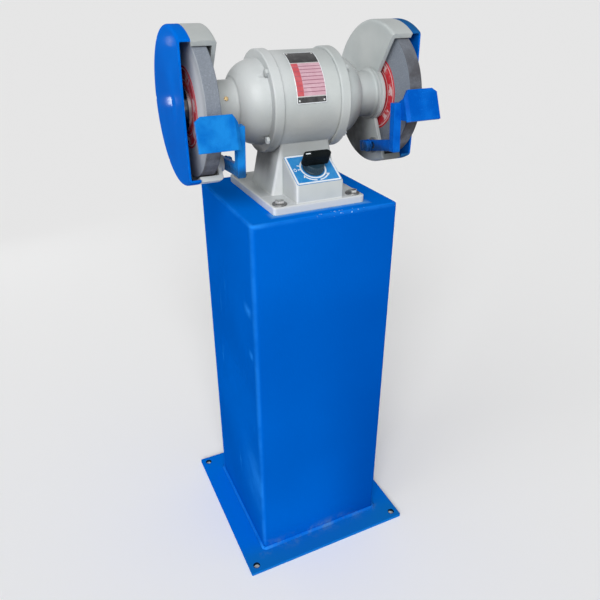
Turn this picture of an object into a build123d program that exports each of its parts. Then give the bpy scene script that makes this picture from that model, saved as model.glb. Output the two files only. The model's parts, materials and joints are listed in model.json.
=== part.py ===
from build123d import *
from math import cos, radians, sin, sqrt, tan
import os

# Pedestal grinder: one motor spindle with a wheel at each end, on a welded sheet column.
# Millimetres. +Z is up, +X runs along the spindle to the right, the operator stands at -Y.
# The origin is the centre of the floor plate's underside.

# Floor plate and column
plate_side = 335.0
plate_thickness = 6.0
plate_corner = 2.0
anchor_inset = 14.5
anchor_hole = 12.0
column_side = 250.0
column_height = 680.0
column_sheet = 3.0
column_bend = 6.0
top_thickness = 5.0
weld_leg = 5.0
weld_crest = 1.0

# Motor foot, from the column top up to the barrel
axis_above_column = 147.0
flange_width = 156.0
flange_depth = 200.0
flange_thickness = 12.0
flange_corner = 6.0
flange_edge = 2.0
tower_base_width = 116.0
tower_top_width = 80.0
tower_depth = 88.0
tower_corner = 4.0
tower_overlap = 6.0
foot_wall = 7.0
foot_roof = 3.0
wire_hole = 10.0

# Bolts that hold the foot on the column
foot_bolt_inset_x = 15.0
foot_bolt_inset_y = 14.0
foot_bolt_size = 8.0
foot_bolt_hole = 9.0
foot_bolt_flats = 13.0
foot_bolt_head = 4.5
foot_bolt_tail = 3.0
foot_washer_size = 23.0
foot_washer_thickness = 2.0
foot_nut_height = 6.5

# Switch box on the front of the foot
box_width = 79.0
box_set_back = 3.0
box_front_height = 28.0
box_edge = 2.0
box_wall = 5.0
dial_slope = 30.0
dial_side_margin = 2.0
dial_end_margin = 0.6
dial_corner = 3.0
dial_thickness = 1.0
switch_side = 44.0
switch_depth = 38.0
switch_neck = 20.0
switch_neck_room = 1.0
switch_spindle_size = 8.0
switch_spindle_room = 0.06
switch_spindle_depth = 24.0
knob_gap = 0.5
knob_base_size = 34.0
knob_base_height = 8.0
knob_grip_length = 46.0
knob_grip_width = 13.0
knob_grip_height = 23.0
knob_edge = 1.5
knob_wall = 3.0

# Cable gland on the back of the foot
gland_height = 27.0
gland_stem = 16.0
gland_flats = 24.0
gland_hex_length = 6.0
gland_cap_size = 20.0
gland_cap_length = 13.0
gland_bore = 9.0
gland_edge = 2.0

# Capacitor and its clip inside the foot
capacitor_size = 36.0
capacitor_length = 66.0
capacitor_behind = 3.0
capacitor_terminal = 5.0
clip_width = 18.0
clip_thickness = 1.5
clip_foot = 11.0
clip_room = 0.1
clip_screw_size = 4.0
clip_screw_head = 7.0
clip_screw_head_height = 2.4

# Motor barrel and end bells
barrel_radius = 71.5
barrel_half = 46.0
core_radius = 62.0
rim_radius = 75.0
rim_width = 16.0
rim_edge = 2.0
dome_root_radius = 62.5
dome_land = 10.0
dome_fall = 1.5
bell_length = 55.0
shoulder_radius = 40.0
bell_wall = 6.0
neck_radius = 35.0
neck_fillet = 4.0
pad_radius = 40.0
pad_thickness = 5.0
bell_reach = 91.0
neck_bore = 18.0
tie_bolt_size = 6.0
tie_bolt_hole = 6.6
tie_bolt_flats = 10.0
tie_bolt_head = 4.5
tie_pocket = 13.0
tie_nut_height = 5.0
tie_bolt_tail = 2.0
tie_bolt_count = 4

# Stator, rotor and shaft
core_half = 32.0
core_bore_radius = 41.0
air_gap = 0.6
winding_outer_radius = 58.0
winding_inner_radius = 44.0
winding_reach = 15.0
rotor_half = 33.0
shaft_radius = 12.5

# Ball bearings
bearing_inset = 58.0
bearing_bore = 20.0
bearing_outer = 47.0
bearing_width = 14.0
inner_race_radius = 14.2
outer_race_radius = 19.3
ball_radius = 3.9
ball_room = 0.2
ball_count = 8

# Grinding wheels and their flanges
wheel_diameter = 200.0
wheel_width = 21.0
wheel_gap = 6.5
wheel_edge = 1.0
label_radius = 57.0
label_thickness = 0.6
wheel_flange_radius = 33.0
wheel_flange_thickness = 4.0
flange_relief_radius = 24.0
flange_relief = 1.0
hub_radius = 13.8
thread_radius = 8.0
thread_set_back = 2.0
thread_tail = 1.2
spindle_nut_flats = 24.0
spindle_nut_height = 9.0

# Wheel guards
guard_clearance = 2.0
guard_rim = 8.0
guard_wall = 6.0
guard_depth = 35.0
guard_edge = 5.0
guard_hub_radius = 41.5
opening_up = 57.0
opening_down = 61.0
guard_screw_circle = 28.0
guard_screw_size = 6.0
guard_screw_head = 12.0
guard_screw_length = 20.0
guard_screw_count = 3
cover_depth = 17.5
cover_edge = 4.5
cover_bulge = 1.0
cover_wall = 3.0
cover_chord = 56.0
cover_boss_radius = 3.8
cover_screw_angles = (125.0, 180.0, 235.0)
cover_screw_size = 3.5
cover_screw_hole = 3.8
cover_screw_head = 5.8
cover_screw_head_height = 2.2
cover_screw_room = 0.2
cover_screw_seat = 14.5
cover_screw_grip = 8.0

# Tool rests
rest_bolt_inset = 19.0
rest_bolt_angle = 70.0
rest_bolt_size = 10.0
rest_bolt_room = 0.08
rest_bolt_flats = 16.0
rest_bolt_head = 6.4
rest_bolt_short = 0.5
rest_washer_size = 20.0
rest_washer_thickness = 2.0
rest_boss = 6.0
rest_boss_radius = 12.5
rest_clear = 0.3
rest_slot = 10.8
rest_slot_front = 6.5
rest_slot_back = 19.5
rest_tail = 9.0
arm_height = 17.0
arm_thickness = 6.0
arm_rise = 8.0
upright_depth = 13.0
upright_thickness = 12.0
upright_forward = 1.0
upright_drop = 17.0
bracket_edge = 1.5
bracket_fillet = 6.0
rest_gap = 4.0
table_rise = 11.5
table_lean = 19.0
table_width = 59.0
table_height = 46.5
table_thickness = 6.0
table_edge = 1.0
table_band = 5.0
table_band_depth = 3.5
outer_chamfer_width = 8.0
outer_chamfer_height = 6.0
inner_chamfer_width = 7.5
inner_chamfer_height = 11.0
lug_thickness = 6.0
lug_margin = 2.0
rest_tilt = 4.0

# Name plate on the barrel
name_plate_width = 48.0
name_plate_shift = -2.5
name_plate_thickness = 0.8
name_plate_gap = 0.2
name_plate_from = 4.0
name_plate_to = 72.0
rivet_inset = 4.0
rivet_radius = 1.6
rivet_height = 0.8

# Stations worked out from the sizes above
anchor_spacing = plate_side - 2 * anchor_inset
foot_bolt_spacing_x = flange_width - 2 * foot_bolt_inset_x
foot_bolt_spacing_y = flange_depth - 2 * foot_bolt_inset_y
column_top = plate_thickness + column_height
shell_height = column_height - top_thickness
flange_top = column_top + flange_thickness
spindle_z = column_top + axis_above_column
rim_end = barrel_half + rim_width
shoulder_x = barrel_half + bell_length
guard_plane = barrel_half + bell_reach
bearing_face = barrel_half + bearing_inset
bearing_back = bearing_face + bearing_width
wall_inside = guard_plane + guard_wall
wheel_inside = wall_inside + wheel_gap
wheel_outside = wheel_inside + wheel_width
nut_face = wheel_outside + label_thickness + wheel_flange_thickness
wheel_radius = wheel_diameter / 2
guard_inner = wheel_radius + guard_clearance
guard_radius = guard_inner + guard_rim
cover_joint = guard_plane + guard_depth
cover_face = cover_joint + cover_depth
rest_bolt_radius = guard_inner - rest_bolt_inset
spindle_axis = Axis((0, 0, spindle_z), (1, 0, 0))
axial_plane = Plane(origin=(0, 0, spindle_z), x_dir=(1, 0, 0), z_dir=(0, -1, 0))


def cross_plane(x):
    """Plane across the spindle at x, with its first axis along +Y and its second up."""
    return Plane(origin=(x, 0, spindle_z), x_dir=(0, 1, 0), z_dir=(1, 0, 0))


def rings(edges, radius):
    """Round edges of one radius."""
    return edges.filter_by(GeomType.CIRCLE).filter_by(lambda edge: abs(edge.radius - radius) < 0.01)


def save(piece, name):
    piece.label = name
    export_step(piece, f"parts/{name}.step")


def save_pair(right_piece, name):
    """Writes a right-hand piece and its mirror image on the left."""
    left_piece = mirror(right_piece, about=Plane.YZ)
    save(right_piece, f"right_{name}")
    save(left_piece, f"left_{name}")


def turned(*outline):
    """Solid of revolution about the spindle from (x, radius) corners."""
    with BuildPart() as piece:
        with BuildSketch(axial_plane):
            with BuildLine():
                Polyline(*outline, close=True)
            make_face()
        revolve(axis=spindle_axis)
    return piece.part


os.makedirs("parts", exist_ok=True)

# Floor plate, column, its top plate and the weld at its foot
with BuildPart() as base_plate:
    with BuildSketch():
        RectangleRounded(plate_side, plate_side, plate_corner)
        with GridLocations(anchor_spacing, anchor_spacing, 2, 2):
            Circle(anchor_hole / 2, mode=Mode.SUBTRACT)
    extrude(amount=plate_thickness)
save(base_plate.part, "base_plate")

with BuildPart() as column_shell:
    with BuildSketch(Plane.XY.offset(plate_thickness)):
        RectangleRounded(column_side, column_side, column_bend)
        inside = column_side - 2 * column_sheet
        RectangleRounded(inside, inside, column_bend - column_sheet, mode=Mode.SUBTRACT)
    extrude(amount=shell_height)
save(column_shell.part, "column_shell")

with BuildPart() as column_top_plate:
    with BuildSketch(Plane.XY.offset(column_top - top_thickness)):
        RectangleRounded(column_side, column_side, column_bend)
        with GridLocations(foot_bolt_spacing_x, foot_bolt_spacing_y, 2, 2):
            Circle(foot_bolt_hole / 2, mode=Mode.SUBTRACT)
        clip_screw_pitch = capacitor_size + 2 * (clip_room + clip_thickness) + clip_foot
        with Locations((0, capacitor_behind)):
            with GridLocations(0, clip_screw_pitch, 1, 2):
                Circle(clip_screw_size / 2, mode=Mode.SUBTRACT)
    extrude(amount=top_thickness)
save(column_top_plate.part, "column_top_plate")

with BuildPart() as base_weld:
    with BuildSketch(Plane.XY.offset(plate_thickness)):
        foot_side = column_side + 2 * weld_leg
        RectangleRounded(foot_side, foot_side, column_bend + weld_leg)
    with BuildSketch(Plane.XY.offset(plate_thickness + weld_leg)):
        crest_side = column_side + 2 * weld_crest
        RectangleRounded(crest_side, crest_side, column_bend + weld_crest)
    loft()
    with BuildSketch(Plane.XY.offset(plate_thickness)):
        RectangleRounded(column_side, column_side, column_bend)
    extrude(amount=weld_leg, mode=Mode.SUBTRACT)
save(base_weld.part, "base_weld")

# Motor foot and barrel in one casting, hollow below and open along the barrel
tower_face = tower_depth / 2
box_front = box_set_back - flange_depth / 2
box_reach = -tower_face - box_front
tower_top = spindle_z - sqrt(barrel_radius**2 - (tower_face + tower_overlap) ** 2)
hollow_top = spindle_z - barrel_radius - foot_roof
box_top = flange_top + box_front_height
slope = tan(radians(dial_slope))
dial_plane = Plane(
    origin=(0, box_front + box_reach / 2, box_top + box_reach / 2 * slope),
    x_dir=(1, 0, 0),
    z_dir=(0, -sin(radians(dial_slope)), cos(radians(dial_slope))),
)
barrel_wall_radius = (barrel_radius + core_radius) / 2
tower_taper = (tower_base_width - tower_top_width) / (tower_top - flange_top)
hollow_width = tower_base_width - tower_taper * (hollow_top - flange_top) - 2 * foot_wall
gland_z = flange_top + gland_height
gland_plane = Plane(origin=(0, tower_face, gland_z), x_dir=(-1, 0, 0), z_dir=(0, 1, 0))

with BuildPart() as motor_frame:
    with BuildSketch(Plane.XY.offset(column_top)):
        RectangleRounded(flange_width, flange_depth, flange_corner)
    extrude(amount=flange_thickness)
    fillet(motor_frame.faces().sort_by(Axis.Z)[-1].edges(), radius=flange_edge)
    with BuildSketch(Plane.XY.offset(flange_top)):
        RectangleRounded(tower_base_width, tower_depth, tower_corner)
    with BuildSketch(Plane.XY.offset(tower_top)):
        RectangleRounded(tower_top_width, tower_depth, tower_corner)
    loft()
    with BuildSketch(Plane.YZ):
        with BuildLine():
            Polyline(
                (-tower_face + foot_wall / 2, column_top),
                (box_front, column_top),
                (box_front, box_top),
                (-tower_face + foot_wall / 2, box_top + (box_reach + foot_wall / 2) * slope),
                close=True,
            )
        make_face()
    extrude(amount=box_width / 2, both=True)
    box_corners = motor_frame.edges().filter_by(Axis.Z).filter_by_position(Axis.Y, box_front - 1, box_front + 1)
    slope_edges = motor_frame.edges().filter_by(Axis((0, 0, 0), dial_plane.y_dir))
    fillet(box_corners + slope_edges, radius=box_edge)
    with BuildSketch(cross_plane(0)):
        Circle(barrel_radius)
    extrude(amount=barrel_half, both=True)
    # Hollow of the tower and of the switch box, open at the underside
    with BuildSketch(Plane.XY.offset(column_top)):
        RectangleRounded(tower_base_width - 2 * foot_wall, tower_depth - 2 * foot_wall, tower_corner)
    with BuildSketch(Plane.XY.offset(hollow_top)):
        RectangleRounded(hollow_width, tower_depth - 2 * foot_wall, tower_corner)
    loft(mode=Mode.SUBTRACT)
    with BuildSketch(Plane.YZ):
        under_front = box_top + box_wall * slope - box_wall / cos(radians(dial_slope))
        hollow_front = box_front + box_wall
        hollow_back = -tower_face + foot_wall + box_wall
        with BuildLine():
            Polyline(
                (hollow_back, column_top),
                (hollow_front, column_top),
                (hollow_front, under_front),
                (hollow_back, under_front + (hollow_back - hollow_front) * slope),
                close=True,
            )
        make_face()
    extrude(amount=box_width / 2 - box_wall, both=True, mode=Mode.SUBTRACT)
    with BuildSketch(cross_plane(0)):
        Circle(core_radius)
    extrude(amount=barrel_half, both=True, mode=Mode.SUBTRACT)
    with BuildSketch(cross_plane(0)):
        with PolarLocations(barrel_wall_radius, tie_bolt_count, start_angle=180 / tie_bolt_count):
            Circle(tie_bolt_hole / 2)
    extrude(amount=barrel_half, both=True, mode=Mode.SUBTRACT)
    # Foot bolt holes, wire passage, switch neck and cable gland
    with BuildSketch(Plane.XY.offset(column_top)):
        with GridLocations(foot_bolt_spacing_x, foot_bolt_spacing_y, 2, 2):
            Circle(foot_bolt_hole / 2)
    extrude(amount=flange_thickness, mode=Mode.SUBTRACT)
    with BuildSketch(Plane.XY.offset(hollow_top)):
        with Locations(((core_half + barrel_half) / 2, 0)):
            Circle(wire_hole / 2)
    extrude(amount=axis_above_column / 2, mode=Mode.SUBTRACT)
    with BuildSketch(dial_plane):
        Circle(switch_neck / 2 + switch_neck_room)
    extrude(amount=-2 * box_wall, mode=Mode.SUBTRACT)
    with BuildSketch(gland_plane):
        Circle(gland_stem / 2)
    extrude(amount=-2 * foot_wall, mode=Mode.SUBTRACT)
save(motor_frame.part, "motor_frame")

# Bolts, washers and nuts between foot and column
washer_top = flange_top + foot_washer_thickness
nut_seat = column_top - top_thickness
with BuildPart() as foot_bolts:
    with BuildSketch(Plane.XY.offset(washer_top)):
        with GridLocations(foot_bolt_spacing_x, foot_bolt_spacing_y, 2, 2):
            RegularPolygon(foot_bolt_flats / 2, 6, major_radius=False)
    extrude(amount=foot_bolt_head)
    with BuildSketch(Plane.XY.offset(nut_seat - foot_nut_height - foot_bolt_tail)):
        with GridLocations(foot_bolt_spacing_x, foot_bolt_spacing_y, 2, 2):
            Circle(foot_bolt_size / 2)
    extrude(amount=washer_top - nut_seat + foot_nut_height + foot_bolt_tail)
save(foot_bolts.part, "foot_bolts")

with BuildPart() as foot_washers:
    with BuildSketch(Plane.XY.offset(flange_top)):
        with GridLocations(foot_bolt_spacing_x, foot_bolt_spacing_y, 2, 2):
            Circle(foot_washer_size / 2)
            Circle(foot_bolt_hole / 2, mode=Mode.SUBTRACT)
    extrude(amount=foot_washer_thickness)
save(foot_washers.part, "foot_washers")

with BuildPart() as foot_nuts:
    with BuildSketch(Plane.XY.offset(nut_seat)):
        with GridLocations(foot_bolt_spacing_x, foot_bolt_spacing_y, 2, 2):
            RegularPolygon(foot_bolt_flats / 2, 6, major_radius=False)
            Circle(foot_bolt_size / 2, mode=Mode.SUBTRACT)
    extrude(amount=-foot_nut_height)
save(foot_nuts.part, "foot_nuts")

# Domed end bells with their bearing seats and guard pads
boss_x = shoulder_x - bell_wall
dome_turn = rim_end + dome_land
crest_radius = dome_root_radius - dome_fall
seat_radius = bearing_outer / 2
with BuildPart() as right_end_bell:
    with BuildSketch(axial_plane):
        with BuildLine():
            Polyline(
                (dome_turn, crest_radius - bell_wall),
                (rim_end - bell_wall, dome_root_radius - bell_wall),
                (rim_end - bell_wall, core_radius),
                (barrel_half, core_radius),
                (barrel_half, rim_radius),
                (rim_end, rim_radius),
                (rim_end, dome_root_radius),
                (dome_turn, crest_radius),
            )
            TangentArc(
                (dome_turn, crest_radius),
                (shoulder_x, shoulder_radius),
                tangent=(dome_land, -dome_fall),
            )
            Polyline(
                (shoulder_x, shoulder_radius),
                (shoulder_x, neck_radius),
                (guard_plane - pad_thickness, neck_radius),
                (guard_plane - pad_thickness, pad_radius),
                (guard_plane, pad_radius),
                (guard_plane, neck_bore),
                (bearing_back, neck_bore),
                (bearing_back, seat_radius),
                (boss_x, seat_radius),
                (boss_x, shoulder_radius),
            )
            TangentArc(
                (dome_turn, crest_radius - bell_wall),
                (boss_x, shoulder_radius),
                tangent=(dome_land, -dome_fall),
            )
        make_face()
    revolve(axis=spindle_axis)
    fillet(rings(right_end_bell.edges(), rim_radius), radius=rim_edge)
    fillet(rings(right_end_bell.edges(), neck_radius), radius=neck_fillet)
    with BuildSketch(cross_plane(rim_end)):
        with PolarLocations(barrel_wall_radius, tie_bolt_count, start_angle=180 / tie_bolt_count):
            Circle(tie_pocket / 2)
    extrude(amount=bell_length, mode=Mode.SUBTRACT)
    with BuildSketch(cross_plane(barrel_half)):
        with PolarLocations(barrel_wall_radius, tie_bolt_count, start_angle=180 / tie_bolt_count):
            Circle(tie_bolt_hole / 2)
    extrude(amount=rim_width, mode=Mode.SUBTRACT)
    with BuildSketch(cross_plane(guard_plane)):
        with PolarLocations(guard_screw_circle, guard_screw_count, start_angle=90):
            Circle(guard_screw_size / 2)
    extrude(amount=guard_wall - guard_screw_length, mode=Mode.SUBTRACT)
save_pair(right_end_bell.part, "end_bell")

with BuildPart() as tie_bolts:
    with BuildSketch(cross_plane(-rim_end)):
        with PolarLocations(barrel_wall_radius, tie_bolt_count, start_angle=180 / tie_bolt_count):
            RegularPolygon(tie_bolt_flats / 2, 6, major_radius=False)
    extrude(amount=-tie_bolt_head)
    with BuildSketch(cross_plane(-rim_end)):
        with PolarLocations(barrel_wall_radius, tie_bolt_count, start_angle=180 / tie_bolt_count):
            Circle(tie_bolt_size / 2)
    extrude(amount=2 * rim_end + tie_nut_height + tie_bolt_tail)
save(tie_bolts.part, "tie_bolts")

with BuildPart() as tie_nuts:
    with BuildSketch(cross_plane(rim_end)):
        with PolarLocations(barrel_wall_radius, tie_bolt_count, start_angle=180 / tie_bolt_count):
            RegularPolygon(tie_bolt_flats / 2, 6, major_radius=False)
            Circle(tie_bolt_size / 2, mode=Mode.SUBTRACT)
    extrude(amount=tie_nut_height)
save(tie_nuts.part, "tie_nuts")

# Stator, rotor and stepped shaft
stator_core = turned(
    (-core_half, core_bore_radius),
    (core_half, core_bore_radius),
    (core_half, core_radius),
    (-core_half, core_radius),
)
save(stator_core, "stator_core")

with BuildPart() as stator_winding:
    for end in (core_half, -core_half - winding_reach):
        with BuildSketch(cross_plane(end)):
            Circle(winding_outer_radius)
            Circle(winding_inner_radius, mode=Mode.SUBTRACT)
        extrude(amount=winding_reach)
save(stator_winding.part, "stator_winding")

rotor_radius = core_bore_radius - air_gap
rotor_core = turned(
    (-rotor_half, shaft_radius),
    (rotor_half, shaft_radius),
    (rotor_half, rotor_radius),
    (-rotor_half, rotor_radius),
)
save(rotor_core, "rotor_core")

journal_radius = bearing_bore / 2
thread_start = wheel_outside - thread_set_back
shaft_end = nut_face + spindle_nut_height + thread_tail
spindle_shaft = turned(
    (-shaft_end, 0),
    (-shaft_end, thread_radius),
    (-thread_start, thread_radius),
    (-thread_start, journal_radius),
    (-bearing_face, journal_radius),
    (-bearing_face, shaft_radius),
    (bearing_face, shaft_radius),
    (bearing_face, journal_radius),
    (thread_start, journal_radius),
    (thread_start, thread_radius),
    (shaft_end, thread_radius),
    (shaft_end, 0),
)
save(spindle_shaft, "spindle_shaft")

# Ball bearings: rings with grooves, and the balls between them
pitch_radius = (inner_race_radius + outer_race_radius) / 2
bearing_middle = bearing_face + bearing_width / 2


def bearing_ring(inner, outer):
    with BuildPart() as ring:
        with BuildSketch(axial_plane):
            with BuildLine():
                Polyline(
                    (bearing_face, inner),
                    (bearing_back, inner),
                    (bearing_back, outer),
                    (bearing_face, outer),
                    close=True,
                )
            make_face()
            with Locations((bearing_middle, pitch_radius)):
                Circle(ball_radius + ball_room, mode=Mode.SUBTRACT)
        revolve(axis=spindle_axis)
    return ring.part


save_pair(bearing_ring(outer_race_radius, seat_radius), "bearing_outer")
save_pair(bearing_ring(journal_radius, inner_race_radius), "bearing_inner")

with BuildPart() as right_bearing_balls:
    with Locations(cross_plane(bearing_middle)):
        with PolarLocations(pitch_radius, ball_count):
            Sphere(ball_radius)
save_pair(right_bearing_balls.part, "bearing_balls")

# Wheels, paper labels, clamping flanges and nuts
flange_front = wheel_inside - label_thickness
flange_back = flange_front - wheel_flange_thickness
outer_flange_face = wheel_outside + label_thickness
save_pair(
    turned(
        (bearing_back, journal_radius),
        (flange_front - flange_relief, journal_radius),
        (flange_front - flange_relief, flange_relief_radius),
        (flange_front, flange_relief_radius),
        (flange_front, wheel_flange_radius),
        (flange_back, wheel_flange_radius),
        (flange_back, hub_radius),
        (bearing_back, hub_radius),
    ),
    "inner_flange",
)
save_pair(
    turned(
        (outer_flange_face + flange_relief, thread_radius),
        (nut_face, thread_radius),
        (nut_face, wheel_flange_radius),
        (outer_flange_face, wheel_flange_radius),
        (outer_flange_face, flange_relief_radius),
        (outer_flange_face + flange_relief, flange_relief_radius),
    ),
    "outer_flange",
)
save_pair(
    turned(
        (wheel_inside, journal_radius),
        (wheel_outside, journal_radius),
        (wheel_outside, wheel_radius - wheel_edge),
        (wheel_outside - wheel_edge, wheel_radius),
        (wheel_inside + wheel_edge, wheel_radius),
        (wheel_inside, wheel_radius - wheel_edge),
    ),
    "wheel",
)

with BuildPart() as right_wheel_labels:
    for face in (flange_front, wheel_outside):
        with BuildSketch(cross_plane(face)):
            Circle(label_radius)
            Circle(journal_radius, mode=Mode.SUBTRACT)
        extrude(amount=label_thickness)
save_pair(right_wheel_labels.part, "wheel_labels")

with BuildPart() as right_spindle_nut:
    with BuildSketch(cross_plane(nut_face)):
        RegularPolygon(spindle_nut_flats / 2, 6, major_radius=False)
        Circle(thread_radius, mode=Mode.SUBTRACT)
    extrude(amount=spindle_nut_height)
save_pair(right_spindle_nut.part, "spindle_nut")

# Guard castings: side wall and rim, open to the operator between two radial cuts
rest_bolt_y = -rest_bolt_radius * cos(radians(rest_bolt_angle))
rest_bolt_z = -rest_bolt_radius * sin(radians(rest_bolt_angle))
cut_reach = 3 * guard_radius
cover_screw_radius = guard_inner + guard_rim / 2
cover_screw_places = [
    (-cover_screw_radius * cos(radians(a)), cover_screw_radius * sin(radians(a))) for a in cover_screw_angles
]

with BuildSketch() as opening_sector:
    with BuildLine():
        Polyline(
            (0, 0),
            (-cut_reach * cos(radians(opening_up)), cut_reach * sin(radians(opening_up))),
            (-cut_reach * cos(radians(opening_down)), -cut_reach * sin(radians(opening_down))),
            close=True,
        )
    make_face()

with BuildPart() as right_guard:
    with BuildSketch(cross_plane(guard_plane)):
        Circle(guard_radius)
        add(opening_sector.sketch, mode=Mode.SUBTRACT)
    extrude(amount=guard_wall)
    with BuildSketch(cross_plane(guard_plane)):
        Circle(guard_radius)
        Circle(guard_inner, mode=Mode.SUBTRACT)
        add(opening_sector.sketch, mode=Mode.SUBTRACT)
    extrude(amount=guard_depth)
    fillet(rings(right_guard.edges(), guard_radius).sort_by(Axis.X)[0], radius=guard_edge)
    with BuildSketch(cross_plane(guard_plane)):
        Circle(guard_hub_radius)
    extrude(amount=guard_wall)
    with BuildSketch(cross_plane(guard_plane - rest_boss)):
        with Locations((rest_bolt_y, rest_bolt_z)):
            Circle(rest_boss_radius)
    extrude(amount=rest_boss)
    with BuildSketch(cross_plane(guard_plane - rest_boss)):
        with Locations((rest_bolt_y, rest_bolt_z)):
            Circle(rest_bolt_size / 2 + rest_bolt_room)
    extrude(amount=rest_boss + guard_wall, mode=Mode.SUBTRACT)
    with BuildSketch(cross_plane(guard_plane)):
        Circle(neck_bore)
    extrude(amount=guard_wall, mode=Mode.SUBTRACT)
    with Locations(cross_plane(wall_inside)):
        with PolarLocations(guard_screw_circle, guard_screw_count, start_angle=90):
            CounterSinkHole(guard_screw_size / 2, guard_screw_head / 2, depth=guard_wall, counter_sink_angle=90)
    with BuildSketch(cross_plane(cover_joint)):
        with Locations(*cover_screw_places):
            Circle(cover_screw_size / 2)
    extrude(amount=-cover_screw_grip, mode=Mode.SUBTRACT)
save_pair(right_guard.part, "guard")

# Countersunk screws that hold each guard on its end bell
with BuildPart() as right_guard_screws:
    with BuildSketch(cross_plane(wall_inside)):
        with PolarLocations(guard_screw_circle, guard_screw_count, start_angle=90):
            Circle(guard_screw_size / 2)
    extrude(amount=-guard_screw_length)
    head_drop = (guard_screw_head - guard_screw_size) / 2
    with Locations(cross_plane(wall_inside - head_drop / 2)):
        with PolarLocations(guard_screw_circle, guard_screw_count, start_angle=90):
            Cone(guard_screw_size / 2, guard_screw_head / 2, head_drop)
save_pair(right_guard_screws.part, "guard_screws")


# Pressed guard covers, domed and cut off square in front
def cover_half_section(inset):
    """Half section of the cover's outer form, or of its hollow when inset by the wall."""
    flat_radius = guard_radius - cover_edge
    rim = guard_radius - inset
    face = cover_face - inset
    crown = face + cover_bulge
    with BuildSketch() as section:
        with BuildLine():
            Polyline((crown, 0), (cover_joint, 0), (cover_joint, rim), (cover_face - cover_edge, rim))
            RadiusArc((cover_face - cover_edge, rim), (face, flat_radius), cover_edge - inset)
            RadiusArc((face, flat_radius), (crown, 0), (flat_radius**2 + cover_bulge**2) / (2 * cover_bulge))
        make_face()
    return section.sketch


with BuildPart() as cover_hollow:
    with BuildSketch(axial_plane):
        add(cover_half_section(cover_wall))
    revolve(axis=spindle_axis)
    with BuildSketch(cross_plane(cover_joint)):
        with Locations(*cover_screw_places):
            Circle(cover_boss_radius)
    extrude(amount=cover_depth, mode=Mode.SUBTRACT)

with BuildPart() as right_guard_cover:
    with BuildSketch(axial_plane):
        add(cover_half_section(0))
    revolve(axis=spindle_axis)
    add(cover_hollow.part, mode=Mode.SUBTRACT)
    with BuildSketch(cross_plane(cover_joint)):
        with Locations(*cover_screw_places):
            Circle(cover_screw_hole / 2)
    extrude(amount=cover_depth, mode=Mode.SUBTRACT)
    with BuildSketch(cross_plane(cover_joint + cover_screw_seat)):
        with Locations(*cover_screw_places):
            Circle(cover_screw_head / 2 + cover_screw_room)
    extrude(amount=cover_depth, mode=Mode.SUBTRACT)
    split(bisect_by=Plane(origin=(0, -cover_chord, 0), z_dir=(0, 1, 0)), keep=Keep.TOP)
save_pair(right_guard_cover.part, "guard_cover")

with BuildPart() as right_cover_screws:
    with BuildSketch(cross_plane(cover_joint + cover_screw_seat)):
        with Locations(*cover_screw_places):
            Circle(cover_screw_head / 2)
    extrude(amount=cover_screw_head_height)
    with BuildSketch(cross_plane(cover_joint - cover_screw_grip)):
        with Locations(*cover_screw_places):
            Circle(cover_screw_size / 2)
    extrude(amount=cover_screw_grip + cover_screw_seat)
save_pair(right_cover_screws.part, "cover_screws")

# Tool rests, drawn on the right with the upright plumb and the table at its gap from the wheel
lean = radians(table_lean)
climb = radians(arm_rise)
rest_face = guard_plane - rest_boss - rest_clear
rest_origin = (rest_face, rest_bolt_y, spindle_z + rest_bolt_z)
rest_plane = Plane(origin=rest_origin, x_dir=(0, -1, 0), z_dir=(-1, 0, 0))
arm_plane = Plane(origin=rest_origin, x_dir=(0, -cos(climb), sin(climb)), z_dir=(-1, 0, 0))
rest_pivot = Axis(rest_origin, (1, 0, 0))
wheel_stand_off = wheel_radius + rest_gap
table_top_s = rest_bolt_y + sqrt(wheel_stand_off**2 - table_rise**2)
table_top_t = table_rise - rest_bolt_z
table_foot_s = table_top_s + table_height * sin(lean)
table_foot_t = table_top_t - table_height * cos(lean)
table_plane = Plane(
    origin=rest_plane.from_local_coords(Vector(table_top_s, table_top_t, 0)),
    x_dir=(1, 0, 0),
    z_dir=(0, -cos(lean), sin(lean)),
)
upright_front = table_top_s + upright_forward
upright_heel = upright_front - upright_depth
upright_top = table_top_t - upright_drop
upright_foot = upright_heel * tan(climb) - arm_height / 2 / cos(climb)
inner_corner_t = upright_heel * tan(climb) + arm_height / 2 / cos(climb)
arm_tip = (upright_front - arm_height / 2 * sin(climb)) / cos(climb)
arm_end = -rest_slot_back - rest_slot / 2 - rest_tail

with BuildPart() as rest_bracket:
    with BuildSketch(arm_plane):
        with Locations((arm_end, 0)):
            Rectangle(arm_tip - arm_end, arm_height, align=(Align.MIN, Align.CENTER))
    extrude(amount=arm_thickness)
    with BuildSketch(rest_plane):
        with Locations((upright_heel, upright_foot)):
            Rectangle(upright_depth, upright_top - upright_foot, align=(Align.MIN, Align.MIN))
    extrude(amount=upright_thickness)
    corner = rest_plane.from_local_coords(Vector(upright_heel, inner_corner_t, arm_thickness / 2))
    fillet(rest_bracket.edges().filter_by(Axis.X).sort_by_distance(corner)[0], radius=bracket_fillet)
    fillet(rest_bracket.faces().sort_by(Axis.X)[0].edges(), radius=bracket_edge)
    with BuildSketch(arm_plane):
        with Locations(((rest_slot_front - rest_slot_back) / 2, 0)):
            SlotCenterToCenter(rest_slot_front + rest_slot_back, rest_slot)
    extrude(amount=arm_thickness, mode=Mode.SUBTRACT)

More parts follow.
